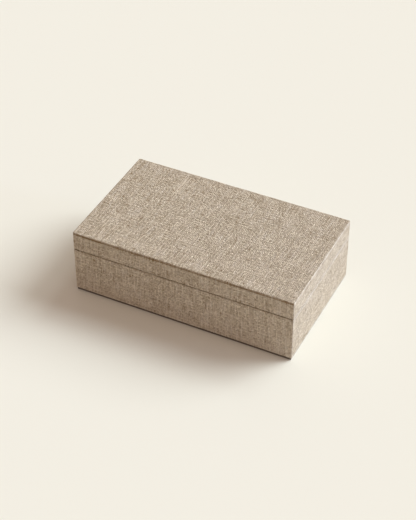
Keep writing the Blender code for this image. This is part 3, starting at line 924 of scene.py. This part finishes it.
def build_slub_tree():
    tree, given = new_tree("slubs_on_cloth", "GeometryNodeTree", SLUB_INPUTS, [("Geometry", "NodeSocketGeometry")])
    cloth = add_node(tree, "GeometryNodeObjectInfo", {"Object": given["Cloth"]}, "Geometry")
    lines = add_node(tree, "GeometryNodeMeshToCurve", {"Mesh": given["Guides"]})
    strands = add_node(tree, "GeometryNodeResampleCurve", {"Curve": lines, "Count": given["Points"]})

    # A strand swerves a little, and then every point of it moves onto the cloth
    spot = scaled(tree, add_node(tree, "GeometryNodeInputPosition", {}), given["Wave Length"].math("POWER", -1.0))
    swerve = add_node(tree, "ShaderNodeTexNoise", {"Vector": spot, "Scale": 1.0, "Detail": 0.0}, "Color")
    centred = vector_of(tree, *[part * 2.0 - 1.0 for part in parts_of(tree, swerve)])
    wavy = add_node(
        tree, "GeometryNodeSetPosition", {"Geometry": strands, "Offset": scaled(tree, centred, given["Wander"])}
    )
    touch = add_node(tree, "GeometryNodeProximity", {"Geometry": cloth}, "Position", target_element="FACES")
    laid = add_node(tree, "GeometryNodeSetPosition", {"Geometry": wavy, "Position": touch})

    # It is thickest in its middle and thins out to both ends
    ends = add_node(tree, "GeometryNodeSplineParameter", {}, "Factor") * 2.0 - 1.0
    taper = ends.math("POWER", 2.0).math("MULTIPLY_ADD", -1.0, 1.0).math("SQRT").math("MAXIMUM", 0.15)
    girth = add_node(tree, "GeometryNodeInputNamedAttribute", {"Name": "girth"}, data_type="FLOAT")
    ring = add_node(tree, "GeometryNodeCurvePrimitiveCircle", {"Resolution": 6, "Radius": 1.0})
    tubes = add_node(tree, "GeometryNodeCurveToMesh", {
        "Curve": laid, "Profile Curve": ring, "Scale": taper * girth, "Fill Caps": True,
    })
    cloth_uv = add_node(tree, "GeometryNodeInputNamedAttribute", {"Name": "cloth_uv"}, data_type="FLOAT_VECTOR")
    below = add_node(
        tree, "GeometryNodeSampleNearestSurface", {"Mesh": cloth, "Value": cloth_uv}, data_type="FLOAT_VECTOR"
    )
    with_uv = add_node(
        tree, "GeometryNodeStoreNamedAttribute", {"Geometry": tubes, "Name": "cloth_uv", "Value": below},
        data_type="FLOAT2", domain="CORNER",
    )
    real = add_node(tree, "GeometryNodeRealizeInstances", {"Geometry": with_uv})
    dressed = add_node(tree, "GeometryNodeSetMaterial", {"Geometry": real, "Material": given["Yarn"]})
    return close_tree(tree, {"Geometry": dressed})


slub_tree = build_slub_tree()
print("slub tree has", len(slub_tree.nodes), "nodes")

# %% [markdown]
# Most slubs lie along the warp, which runs from front to back over the lid. On the front and back it stands
# upright, and on the two ends it lies level, because the same cloth is folded down there. The places are random,
# from a fixed seed. Two slubs are listed: the close pair that runs in from the lid's back edge.

# %% Where the slubs lie
SLUB_MARGIN = 4.5 * MM
SLUB_LENGTHS = (6 * MM, 26 * MM)
SLUB_GIRTHS = (0.2 * MM, 0.4 * MM)
WARP_SHARE = 0.75
LID_SLUBS = 60
BASE_SLUBS = 60
BACK_PAIR = (
    (Vector((-71.0, 20.0, 0.0)) * MM, Vector((-69.0, 82.0, 0.0)) * MM),
    (Vector((-74.0, 30.0, 0.0)) * MM, Vector((-73.2, 80.0, 0.0)) * MM),
)
PAIR_GIRTH = 0.55 * MM


def shown_faces(low, high, with_top):
    """The outer faces of a wrap, each as (corner, edge along the warp, edge across it)."""
    span = high - low
    length, depth, height = [Vector(edge) for edge in ((span.x, 0, 0), (0, span.y, 0), (0, 0, span.z))]
    walls = [
        (low, height, length),
        (low + depth, height, length),
        (low, depth, height),
        (low + length, depth, height),
    ]
    return [*walls, (low + height, depth, length)] if with_top else walls


def scatter_slubs(faces, count, rng):
    """Random strands as (start, end, girth), as dense on a small face as on a large one."""
    areas = [warp.length * weft.length for _, warp, weft in faces]
    strands = []
    for corner, warp, weft in rng.choices(faces, areas, k=count):
        along, beside = (warp, weft) if rng.random() < WARP_SHARE else (weft, warp)
        reach = min(rng.uniform(*SLUB_LENGTHS), along.length - 2 * SLUB_MARGIN)
        first = rng.uniform(SLUB_MARGIN, along.length - SLUB_MARGIN - reach)
        across = rng.uniform(SLUB_MARGIN, beside.length - SLUB_MARGIN)
        start = corner + along.normalized() * first + beside.normalized() * across
        strands.append((start, start + along.normalized() * reach, rng.uniform(*SLUB_GIRTHS)))
    return strands


def guide_mesh(name, strands):
    """One loose edge for each strand, with its girth on both points."""
    mesh = bpy.data.meshes.new(name)
    spots = [spot for start, end, _ in strands for spot in (start, end)]
    mesh.from_pydata(spots, [(2 * k, 2 * k + 1) for k in range(len(strands))], [])
    girths = mesh.attributes.new("girth", "FLOAT", "POINT")
    for k, (_, _, girth) in enumerate(strands):
        girths.data[2 * k].value = girth
        girths.data[2 * k + 1].value = girth
    return mesh


# %% Material: a slub's yarn
SLUB_FLAX = (0.86, 0.78, 0.67)


def make_slub_yarn():
    material, tree, shader = new_material(
        "slub_yarn", Roughness=0.9, Specular_IOR_Level=0.1, Sheen_Weight=0.05, Sheen_Roughness=0.6
    )
    cloth = add_node(tree, "ShaderNodeUVMap", {}, uv_map="cloth_uv")
    fibres = add_node(tree, "ShaderNodeTexNoise", {"Vector": cloth, "Scale": 900.0, "Detail": 3.0})
    feed(tree, shader.inputs["Base Color"], blended(tree, fibres.clamped(0.0, 1.0), DARK_FLAX, SLUB_FLAX))
    feed(tree, shader.inputs["Normal"], bump(tree, fibres, 0.2 * MM))
    arrange(tree)
    return material


slub_yarn = make_slub_yarn()

# %% Lay the slubs
rng = random.Random(29)
back_pair = [(start + Vector((0, 0, box_top)), end + Vector((0, 0, box_top)), PAIR_GIRTH) for start, end in BACK_PAIR]
lid_strands = back_pair + scatter_slubs(shown_faces(lid_low, lid_high, True), LID_SLUBS, rng)
base_strands = scatter_slubs(shown_faces(base_low, base_high, False), BASE_SLUBS, rng)


def lay_slubs(name, strands, cloth):
    inputs = {"Cloth": cloth, "Points": 12, "Wander": 0.6 * MM, "Wave Length": 8 * MM, "Yarn": slub_yarn}
    return keep_mesh(run_tree(name, slub_tree, inputs, guide_mesh(name, strands)))


lid_slubs = lay_slubs("lid_slubs", lid_strands, lid_linen)
base_slubs = lay_slubs("base_slubs", base_strands, base_linen)

# %% [markdown]
# ## The felt under the box
# The raw edges of the linen are covered by one sheet of pressed felt, set in a little from the edge all round.
# Its colour is made very dark, so that from the side its edge draws a dark line under the box: partly the felt's
# own colour, partly painted shade where the box meets the floor. On the right, where the end is lit, the edge is
# painted paler: painted light. It is one more wrap with a closed section: flat below, flat above, and round at its
# cut edge. Felt has no weave, just tangled fibres, so its material is noise in two sizes.

# %% Material: pressed felt
LIT_FELT_EDGE = (0.50, 0.45, 0.39)
felt_low, felt_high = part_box("underside_felt")


def make_felt():
    material, tree, shader = new_material(
        "underside_felt", Roughness=1.0, Specular_IOR_Level=0.1, Sheen_Weight=0.3, Sheen_Roughness=0.7
    )
    spot = object_spot(tree)
    tangle = add_node(
        tree, "ShaderNodeTexNoise", {"Vector": spot, "Scale": 700.0, "Detail": 6.0, "Distortion": 1.5}
    )
    shade = use_group(tree, mottle, {"Vector": spot, "Patch Size": 0.02, "Depth": 0.12}, "Shade")
    # Very dark: partly the felt's own colour, partly painted shade for the line under the box.
    felt_and_contact_shade = blended(tree, tangle.clamped(0.0, 1.0), (0.07, 0.052, 0.040), (0.14, 0.108, 0.083))
    x, _, _ = parts_of(tree, spot)
    # Painted light: the felt's right-hand edge, under the lit end, is paler.
    lit_edge = ((x - felt_high.x) / (1.0 * MM) + 1.0).clamped(0.0, 1.0)
    colour = blended(tree, lit_edge, felt_and_contact_shade, LIT_FELT_EDGE)
    feed(tree, shader.inputs["Base Color"], scaled(tree, colour, shade))
    feed(tree, shader.inputs["Normal"], bump(tree, tangle, 0.6 * MM))
    arrange(tree)
    return material


felt_cloth = make_felt()

# %% The felt sheet
felt_inset = half_length - felt_high.x
FELT_EDGE = 0.4 * MM
FELT_SPACING = 8 * MM

felt_section = section_curve("felt_section", [
    (half_depth, felt_low.z, 0.0, FELT_SPACING),
    (felt_inset, felt_low.z, FELT_EDGE, CLOTH),
    (felt_inset, felt_high.z, FELT_EDGE, FELT_SPACING),
    (half_depth, felt_high.z, 0.0, 0.0),
])
felt = keep_mesh(
    run_tree("felt_sheet", wrap_tree, wrap_inputs(felt_section, half_depth, felt_cloth, relief=0.0)),
    [felt_section],
)

# %% [markdown]
# ## The lining
# Inside the base stand four stiff panels of card, covered in fine cotton and mitred at the corners. They reach
# above the rim, and the lid closes over them. A panel is exactly one side of a wrap, with a closed section, so
# the side tree makes each one. The cotton goes over the panel's upper edge, which is soft and round.

# %% Tree: one mitred panel
def build_panel_tree():
    inputs = [
        *SIDE_INPUTS,
        ("Relief", "NodeSocketFloat", 0.00005),
        ("Patch Size", "NodeSocketFloat", 0.012),
        ("Cloth", "NodeSocketMaterial", None),
    ]
    inputs[0] = ("Section", "NodeSocketObject", None)
    tree, given = new_tree(
        "mitred_panel", "GeometryNodeTree", [("Geometry", "NodeSocketGeometry", None), *inputs],
        [("Geometry", "NodeSocketGeometry")],
    )
    values = {label: given[label] for label, _, _ in SIDE_INPUTS}
    values["Section"] = add_node(tree, "GeometryNodeObjectInfo", {"Object": given["Section"]}, "Geometry")
    side = use_group(tree, side_tree, values, "Mesh")
    merged = add_node(tree, "GeometryNodeMergeByDistance", {"Geometry": side, "Distance": MERGE})
    return finish_cloth(tree, given, merged)


panel_tree = build_panel_tree()
print("panel tree has", len(panel_tree.nodes), "nodes")

# %% Material: fine cotton
COTTON_PITCH = 0.6 * MM


def make_cotton(name, dark, pale, patch_shade):
    """Plain cotton. The same weave as the linen, but fine and even."""
    material, tree, shader = new_material(
        name, Roughness=0.85, Specular_IOR_Level=0.2, Sheen_Weight=0.2, Sheen_Roughness=0.5
    )
    cloth = add_node(tree, "ShaderNodeUVMap", {}, uv_map="cloth_uv")
    height, tone, hollow = use_group(
        tree, weave,
        {"Vector": cloth, "Pitch": COTTON_PITCH, "Girth": 0.44, "Unevenness": 0.18, "Lump Length": 7.0, "Drift": 0.4},
        ("Height", "Tone", "Hollow"),
    )
    shade = use_group(tree, mottle, {"Vector": object_spot(tree), "Patch Size": 0.03, "Depth": patch_shade}, "Shade")
    yarns = blended(tree, tone.clamped(0.0, 1.0), dark, pale)
    in_shade = tuple(part * 0.4 for part in dark)
    colour = blended(tree, hollow * 0.6, yarns, in_shade)
    feed(tree, shader.inputs["Base Color"], scaled(tree, colour, shade))
    feed(tree, shader.inputs["Normal"], bump(tree, height, COTTON_PITCH * 0.5))
    arrange(tree)
    return material


lining_cotton = make_cotton("lining_cloth", (0.58, 0.51, 0.41), (0.76, 0.69, 0.57), 0.04)

# %% The four lining panels
LINER_EDGE = 0.7 * MM
LINER_SPACING = 3 * MM
lining_low, lining_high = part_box("lining_front")
liner_out = half_depth + lining_low.y
liner_in = half_depth + lining_high.y


def lining_panel(quarter, node):
    """One panel. Quarter 0 is the front, and each further quarter is a right angle on, anticlockwise."""
    low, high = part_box(node)
    long_side = quarter % 2 == 0
    outer_end = high.x if long_side else high.y
    section = section_curve(node + "_section", [
        (liner_in, low.z, 0.0, LINER_SPACING),
        (liner_in, high.z, LINER_EDGE, LINER_SPACING),
        (liner_out, high.z, LINER_EDGE, LINER_SPACING),
        (liner_out, low.z, 0.0, LINER_SPACING),
        (liner_in, low.z, 0.0, 0.0),
    ])
    host = run_tree(node + "_panel", panel_tree, {
        "Section": section, "Start Inset": liner_in,
        "Half Along": outer_end + liner_out, "Half Across": half_depth if long_side else half_length,
        "Corner Radius": 0.0, "Corner Columns": 1, "Wall Columns": 72 if long_side else 42,
        "Turn": quarter * math.pi / 2, "Relief": 0.05 * MM, "Patch Size": 14 * MM, "Cloth": lining_cotton,
    })
    return keep_mesh(host, [section])


LINING_NODES = ("lining_front", "lining_right", "lining_back", "lining_left")
lining_panels = [lining_panel(quarter, node) for quarter, node in enumerate(LINING_NODES)]

# %% [markdown]
# ## Two pads
# The floor of the box and the underside of the lid carry pads: card with thin wadding, covered in the same cotton.
# The cover is glued down round the edge of the card and the wadding pushes it up, so the pad is plump in the
# middle and drawn down at its sides. That is what a cloth simulation is for. The glued points are pinned, a little
# pressure stands for the wadding, and gravity is off because glue and wadding are stronger than weight. The
# simulation says how the cover bulges. How far it may rise is limited afterwards, point by point, so that the pad
# keeps to its place under the lid.

# %% Helpers: a pad before it is filled
PAD_STEP = 4.2 * MM
PAD_EDGE = 1.1 * MM
PAD_RISE = 1.0 * MM


def pad_blank(name, node, way):
    """A flat pad of the node's outline, lower by the rise. It shows upwards where way is 1, downwards at -1."""
    low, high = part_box(node)
    span = high - low
    thickness = span.z - PAD_RISE
    glued_z = low.z if way > 0 else high.z
    bm = bmesh.new()
    columns, rows = [round(extent / PAD_STEP) for extent in (span.x, span.y)]
    bmesh.ops.create_grid(bm, x_segments=columns, y_segments=rows, size=0.5)
    bmesh.ops.scale(bm, vec=(span.x, span.y, 1.0), verts=bm.verts)
    copy = bmesh.ops.extrude_face_region(bm, geom=bm.faces[:], use_keep_orig=True)["geom"]
    shown = [part for part in copy if isinstance(part, bmesh.types.BMVert)]
    bmesh.ops.translate(bm, vec=(0.0, 0.0, thickness), verts=shown)
    rim = [edge for edge in bm.edges if edge.calc_face_angle(0.0) > 1.0 and min(v.co.z for v in edge.verts) > 0.0]
    bmesh.ops.bevel(bm, geom=rim, offset=PAD_EDGE, segments=3, profile=0.5, affect="EDGES")
    bmesh.ops.scale(bm, vec=(1.0, 1.0, way), verts=bm.verts)
    bmesh.ops.translate(bm, vec=(0.0, 0.0, glued_z), verts=bm.verts)
    bmesh.ops.recalc_face_normals(bm, faces=bm.faces)
    mesh = bpy.data.meshes.new(name)
    bm.to_mesh(mesh)
    bm.free()
    blank = bpy.data.objects.new(name, mesh)
    bpy.context.scene.collection.objects.link(blank)
    glued = blank.vertex_groups.new(name="glued")
    glued.add([v.index for v in mesh.vertices if abs(v.co.z - glued_z) < MERGE], 1.0, "REPLACE")
    print(f"{name}: {len(mesh.vertices)} points before filling")
    return blank


# %% Helpers: fill a pad by simulation
FILL_FRAMES = 20
WADDING_PRESSURE = 3.0


def fill_pad(blank):
    """Simulates the cover for a few frames, then limits how far each point has moved."""
    flat = [v.co.copy() for v in blank.data.vertices]
    cover = blank.modifiers.new("cover", "CLOTH")
    cover.settings.quality = 4
    cover.settings.mass = 0.2
    cover.settings.shrink_min = -0.015
    cover.settings.bending_stiffness = 0.3
    cover.settings.use_pressure = True
    cover.settings.uniform_pressure_force = WADDING_PRESSURE
    cover.settings.vertex_group_mass = "glued"
    cover.settings.effector_weights.gravity = 0.0
    scene = bpy.context.scene
    for frame_number in range(1, FILL_FRAMES + 1):
        scene.frame_set(frame_number)
    graph = bpy.context.evaluated_depsgraph_get()
    filled = [v.co.copy() for v in blank.evaluated_get(graph).data.vertices]
    blank.modifiers.remove(cover)
    scene.frame_set(1)
    highest = 0.0
    for point, start, end in zip(blank.data.vertices, flat, filled):
        move = end - start
        highest = max(highest, move.length)
        if move.length > 0:
            point.co = start + move.normalized() * PAD_RISE * (1 - math.exp(-move.length / PAD_RISE))
    print(f"{blank.name}: the cover moved by up to {1000 * highest:.1f} mm before the limit")
    return blank


# %% Helpers: a pad's cover in flat coordinates
def unroll_cover(mesh, shown_z):
    """Stores flat cloth coordinates: straight down on the pad, and folded out at its sides."""
    layer = mesh.uv_layers.new(name="cloth_uv")
    for face in mesh.polygons:
        across_x = abs(face.normal.x) > max(abs(face.normal.y), abs(face.normal.z))
        across_y = abs(face.normal.y) > max(abs(face.normal.x), abs(face.normal.z))
        for corner in face.loop_indices:
            spot = mesh.vertices[mesh.loops[corner].vertex_index].co
            drop = abs(shown_z - spot.z)
            out_x = math.copysign(drop, spot.x) if across_x else 0.0
            out_y = math.copysign(drop, spot.y) if across_y else 0.0
            layer.data[corner].uv = (spot.x + out_x, spot.y + out_y)


# %% The floor pad and the lid pad
pad_cotton = make_cotton("pad_cloth", (0.60, 0.53, 0.43), (0.78, 0.71, 0.60), 0.05)


def make_pad(name, node, way):
    low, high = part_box(node)
    blank = fill_pad(pad_blank(name, node, way))
    unroll_cover(blank.data, high.z if way > 0 else low.z)
    blank.data.materials.append(pad_cotton)
    finer = blank.modifiers.new("finer", "SUBSURF")
    finer.levels = 1
    finer.render_levels = 1
    return keep_mesh(blank)


floor_pad = make_pad("floor_pad_cover", "floor_pad", 1)
lid_pad = make_pad("lid_pad_cover", "lid_pad", -1)

# %% [markdown]
# ## Brass
# The two hinges are plain stamped brass. Each has two leaves, let into the rims, and a pin through their knuckles.
# The brass is brushed along its length and has dulled a little in patches. Colour, brushing and dulling differ
# only in strength between the hinges and the screws, so one function makes both finishes.

# %% Material: dulled, brushed brass
def make_brass(name, colour, dulled, brush_depth):
    material, tree, shader = new_material(name, Metallic=1.0)
    spot = object_spot(tree)
    x, y, z = parts_of(tree, spot)
    lengthwise = vector_of(tree, x * 150.0, y * 6000.0, z * 6000.0)
    brushed = add_node(tree, "ShaderNodeTexNoise", {"Vector": lengthwise, "Scale": 1.0, "Detail": 2.0})
    shade = use_group(tree, mottle, {"Vector": spot, "Patch Size": 0.006, "Depth": 1.0}, "Shade")
    dullness = (shade - 0.6).clamped(0.0, 1.0)
    feed(tree, shader.inputs["Base Color"], blended(tree, dullness, colour, dulled))
    feed(tree, shader.inputs["Roughness"], dullness * 0.30 + brushed * 0.12 + 0.33)
    feed(tree, shader.inputs["Normal"], bump(tree, brushed, brush_depth))
    arrange(tree)
    return material


hinge_brass = make_brass("brass", (0.54, 0.42, 0.25), (0.27, 0.20, 0.12), 0.02 * MM)
screw_brass = make_brass("screw_brass", (0.50, 0.38, 0.22), (0.25, 0.18, 0.10), 0.01 * MM)

# %% [markdown]
# The leaves have the right shape in the frame already, but their edges are perfectly sharp, and a stamped edge
# never is. A copy of each is cleaned up and given a narrow bevel, which catches a thin line of light. The pins stay
# as they are, with the brass on them.

# %% The hinge leaves, with broken edges
LEAF_BEVEL = 0.06 * MM
LEAF_MERGE = 0.045 * MM
BEVEL_ANGLE = math.radians(40)


def broken_edges(name, node):
    """A copy of a metal node with its loose triangles merged and its sharp edges bevelled."""
    bm = bmesh.new()
    bm.from_mesh(nodes[node].data)
    bmesh.ops.remove_doubles(bm, verts=bm.verts, dist=LEAF_MERGE)
    bmesh.ops.dissolve_limit(bm, angle_limit=math.radians(1), verts=bm.verts, edges=bm.edges)
    mesh = bpy.data.meshes.new(name)
    bm.to_mesh(mesh)
    bm.free()
    mesh.materials.clear()
    mesh.materials.append(hinge_brass)
    copy = bpy.data.objects.new(name, mesh)
    bpy.context.scene.collection.objects.link(copy)
    bevel = copy.modifiers.new("broken_edges", "BEVEL")
    bevel.width = LEAF_BEVEL
    bevel.use_clamp_overlap = False
    bevel.segments = 2
    bevel.limit_method = "ANGLE"
    bevel.angle_limit = BEVEL_ANGLE
    return keep_mesh(copy)


leaves = {}
for hinge in HINGES:
    for body in ("base", "lid"):
        node = f"{hinge}_{body}_leaf"
        leaves[node] = broken_edges(node + "_brass", node)

# %% [markdown]
# ## Screws
# Eight small countersunk screws hold the leaves. One is made with care: a profile spun round its axis, and a slot
# cut across the head. Geometry nodes then place a copy on every point of a small mesh, one point for each screw.
# Nobody lines up the slots of such screws, so each gets a random turn from a fixed seed. In the lid they stand
# on their heads.

# %% One screw
SCREW_SHANK = 0.8 * MM
SCREW_LENGTH = 9 * MM
SCREW_TIP = 1.2 * MM
HEAD_RADIUS = 1.5 * MM
HEAD_LIP = 0.2 * MM
HEAD_EDGE = 0.06 * MM
HEAD_SINK = 0.04 * MM
SLOT_WIDTH = 0.4 * MM
SLOT_DEPTH = 0.35 * MM
SCREW_SIDES = 28


def screw_mesh_object():
    """A slotted screw. The top of its head is in the middle of the frame, and its tip points down."""
    cone_foot = HEAD_LIP + HEAD_RADIUS - SCREW_SHANK
    profile = (
        (0.0, 0.0),
        (HEAD_RADIUS - HEAD_EDGE, 0.0),
        (HEAD_RADIUS, -HEAD_EDGE),
        (HEAD_RADIUS, -HEAD_LIP),
        (SCREW_SHANK, -cone_foot),
        (SCREW_SHANK, SCREW_TIP - SCREW_LENGTH),
        (0.0, -SCREW_LENGTH),
    )
    bm = bmesh.new()
    line = [bm.verts.new((radius, 0.0, height)) for radius, height in profile]
    edges = [bm.edges.new(pair) for pair in zip(line, line[1:])]
    bmesh.ops.spin(
        bm, geom=line + edges, axis=(0, 0, 1), cent=(0, 0, 0), angle=2 * math.pi, steps=SCREW_SIDES
    )
    bmesh.ops.remove_doubles(bm, verts=bm.verts, dist=MERGE / 10)
    bmesh.ops.recalc_face_normals(bm, faces=bm.faces)
    mesh = bpy.data.meshes.new("screw")
    bm.to_mesh(mesh)
    bm.free()
    screw = bpy.data.objects.new("screw", mesh)
    bpy.context.scene.collection.objects.link(screw)
    return screw


def slot_cutter():
    bm = bmesh.new()
    bmesh.ops.create_cube(bm, size=1.0)
    bmesh.ops.scale(bm, vec=(3 * HEAD_RADIUS, SLOT_WIDTH, 2 * SLOT_DEPTH), verts=bm.verts)
    mesh = bpy.data.meshes.new("slot_cutter")
    bm.to_mesh(mesh)
    bm.free()
    cutter = bpy.data.objects.new("slot_cutter", mesh)
    bpy.context.scene.collection.objects.link(cutter)
    return cutter


screw = screw_mesh_object()
cutter = slot_cutter()
slot_cut = screw.modifiers.new("slot", "BOOLEAN")
slot_cut.operation = "DIFFERENCE"
slot_cut.object = cutter
screw = keep_mesh(screw, [cutter])

# %% Tree: screws on points
def build_screw_tree():
    tree, given = new_tree("screws_on_points", "GeometryNodeTree", [
        ("Points", "NodeSocketGeometry", None),
        ("Screw", "NodeSocketObject", None),
        ("Flip", "NodeSocketFloat", 0.0),
        ("Seed", "NodeSocketInt", 0),
        ("Finish", "NodeSocketMaterial", None),
    ], [("Geometry", "NodeSocketGeometry")])
    one = add_node(tree, "GeometryNodeObjectInfo", {"Object": given["Screw"]}, "Geometry")
    turn = add_node(
        tree, "FunctionNodeRandomValue", {"Min": 0.0, "Max": math.pi, "Seed": given["Seed"]}, "Value",
        data_type="FLOAT",
    )
    placed = add_node(tree, "GeometryNodeInstanceOnPoints", {
        "Points": given["Points"], "Instance": one, "Rotation": vector_of(tree, given["Flip"], 0.0, turn),
    })
    real = add_node(tree, "GeometryNodeRealizeInstances", {"Geometry": placed})
    dressed = add_node(tree, "GeometryNodeSetMaterial", {"Geometry": real, "Material": given["Finish"]})
    return close_tree(tree, {"Geometry": dressed})


screw_tree = build_screw_tree()

# %% Place the screws
SCREW_NODES = {
    body: [f"{hinge}_{body}_screw_{end}" for hinge in HINGES for end in ("outer", "inner")]
    for body in ("base", "lid")
}


def place_screws(body, seed):
    """One mesh of four screws. The heads are at the seam: on top in the base, and below in the lid."""
    heads = []
    for node in SCREW_NODES[body]:
        low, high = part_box(node)
        middle = (low + high) / 2
        face = high.z - HEAD_SINK if body == "base" else low.z + HEAD_SINK
        heads.append((middle.x, middle.y, face))
    points = bpy.data.meshes.new(body + "_screws")
    points.from_pydata(heads, [], [])
    inputs = {"Screw": screw, "Flip": 0.0 if body == "base" else math.pi, "Seed": seed, "Finish": screw_brass}
    return keep_mesh(run_tree(body + "_screws", screw_tree, inputs, points))


screws = {"base": place_screws("base", 3), "lid": place_screws("lid", 8)}
bpy.data.objects.remove(screw)

# %% [markdown]
# ## Fibreboard
# The boards hardly show: a sliver at the hinge seats, and the rims where the lining has shrunk back. Still, they
# get a real finish. Fibreboard is pressed from fine wood fibres, so it is a tan felt of short flecks, darker at
# places where there was more glue.

# %% Material: fibreboard, and the nodes that stay
def make_fibreboard():
    material, tree, shader = new_material("fibreboard", Roughness=0.9, Specular_IOR_Level=0.2)
    spot = object_spot(tree)
    fleck = add_node(
        tree, "ShaderNodeTexNoise", {"Vector": spot, "Scale": 1500.0, "Detail": 4.0, "Distortion": 2.0}
    )
    shade = use_group(tree, mottle, {"Vector": spot, "Patch Size": 0.008, "Depth": 0.2}, "Shade")
    colour = blended(tree, fleck.clamped(0.0, 1.0), (0.27, 0.18, 0.09), (0.56, 0.42, 0.26))
    feed(tree, shader.inputs["Base Color"], scaled(tree, colour, shade))
    feed(tree, shader.inputs["Normal"], bump(tree, fleck, 0.3 * MM))
    arrange(tree)
    return material


fibreboard = make_fibreboard()
for node, part in nodes.items():
    if node.endswith(("_board", "_pin")):
        part.data.materials.clear()
        part.data.materials.append(fibreboard if node.endswith("_board") else hinge_brass)

# %% [markdown]
# ## The table top
# The photograph's box stands on a seamless pale ground. One large matt plane does that, and it keeps the box's
# shadow.

# %% Floor
FLOOR_HALF = 4.0
FLOOR_COLOUR = (0.87, 0.86, 0.79, 1.0)


def lay_floor():
    corners = [(x * FLOOR_HALF, y * FLOOR_HALF, 0.0) for x, y in ((-1, -1), (1, -1), (1, 1), (-1, 1))]
    mesh = bpy.data.meshes.new("floor")
    mesh.from_pydata(corners, [], [(0, 1, 2, 3)])
    paint, _, _ = new_material("floor_paint", Base_Color=FLOOR_COLOUR, Roughness=1.0, Specular_IOR_Level=0.0)
    mesh.materials.append(paint)
    plane = bpy.data.objects.new("floor", mesh)
    bpy.context.scene.collection.objects.link(plane)
    return plane


floor = lay_floor()

# %% [markdown]
# ## What moves with what
# Each piece rides on the base or on the lid, stands for one or more solids of the frame, and takes its finish from
# a named slot of the record.

# %% Ride, replace and slot
PIECES = [
    (lid_linen, "lid", "oatmeal_linen", ["lid_linen_wrap"]),
    (base_linen, "base", "oatmeal_linen", ["base_linen_wrap"]),
    (lid_slubs, "lid", "oatmeal_linen", []),
    (base_slubs, "base", "oatmeal_linen", []),
    (felt, "base", "underside_felt", ["underside_felt"]),
    (floor_pad, "base", "pad_cloth", ["floor_pad"]),
    (lid_pad, "lid", "pad_cloth", ["lid_pad"]),
]
PIECES += [(panel, "base", "lining_cloth", [node]) for panel, node in zip(lining_panels, LINING_NODES)]
PIECES += [(leaf, "lid" if "_lid_" in node else "base", "brass", [node]) for node, leaf in leaves.items()]
PIECES += [(screws[body], body, "screw_brass", SCREW_NODES[body]) for body in ("base", "lid")]

for piece, body, slot, replaced in PIECES:
    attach(piece, body)
    if replaced:
        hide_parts(*replaced)
print(len(PIECES), "pieces ride on the two bodies")
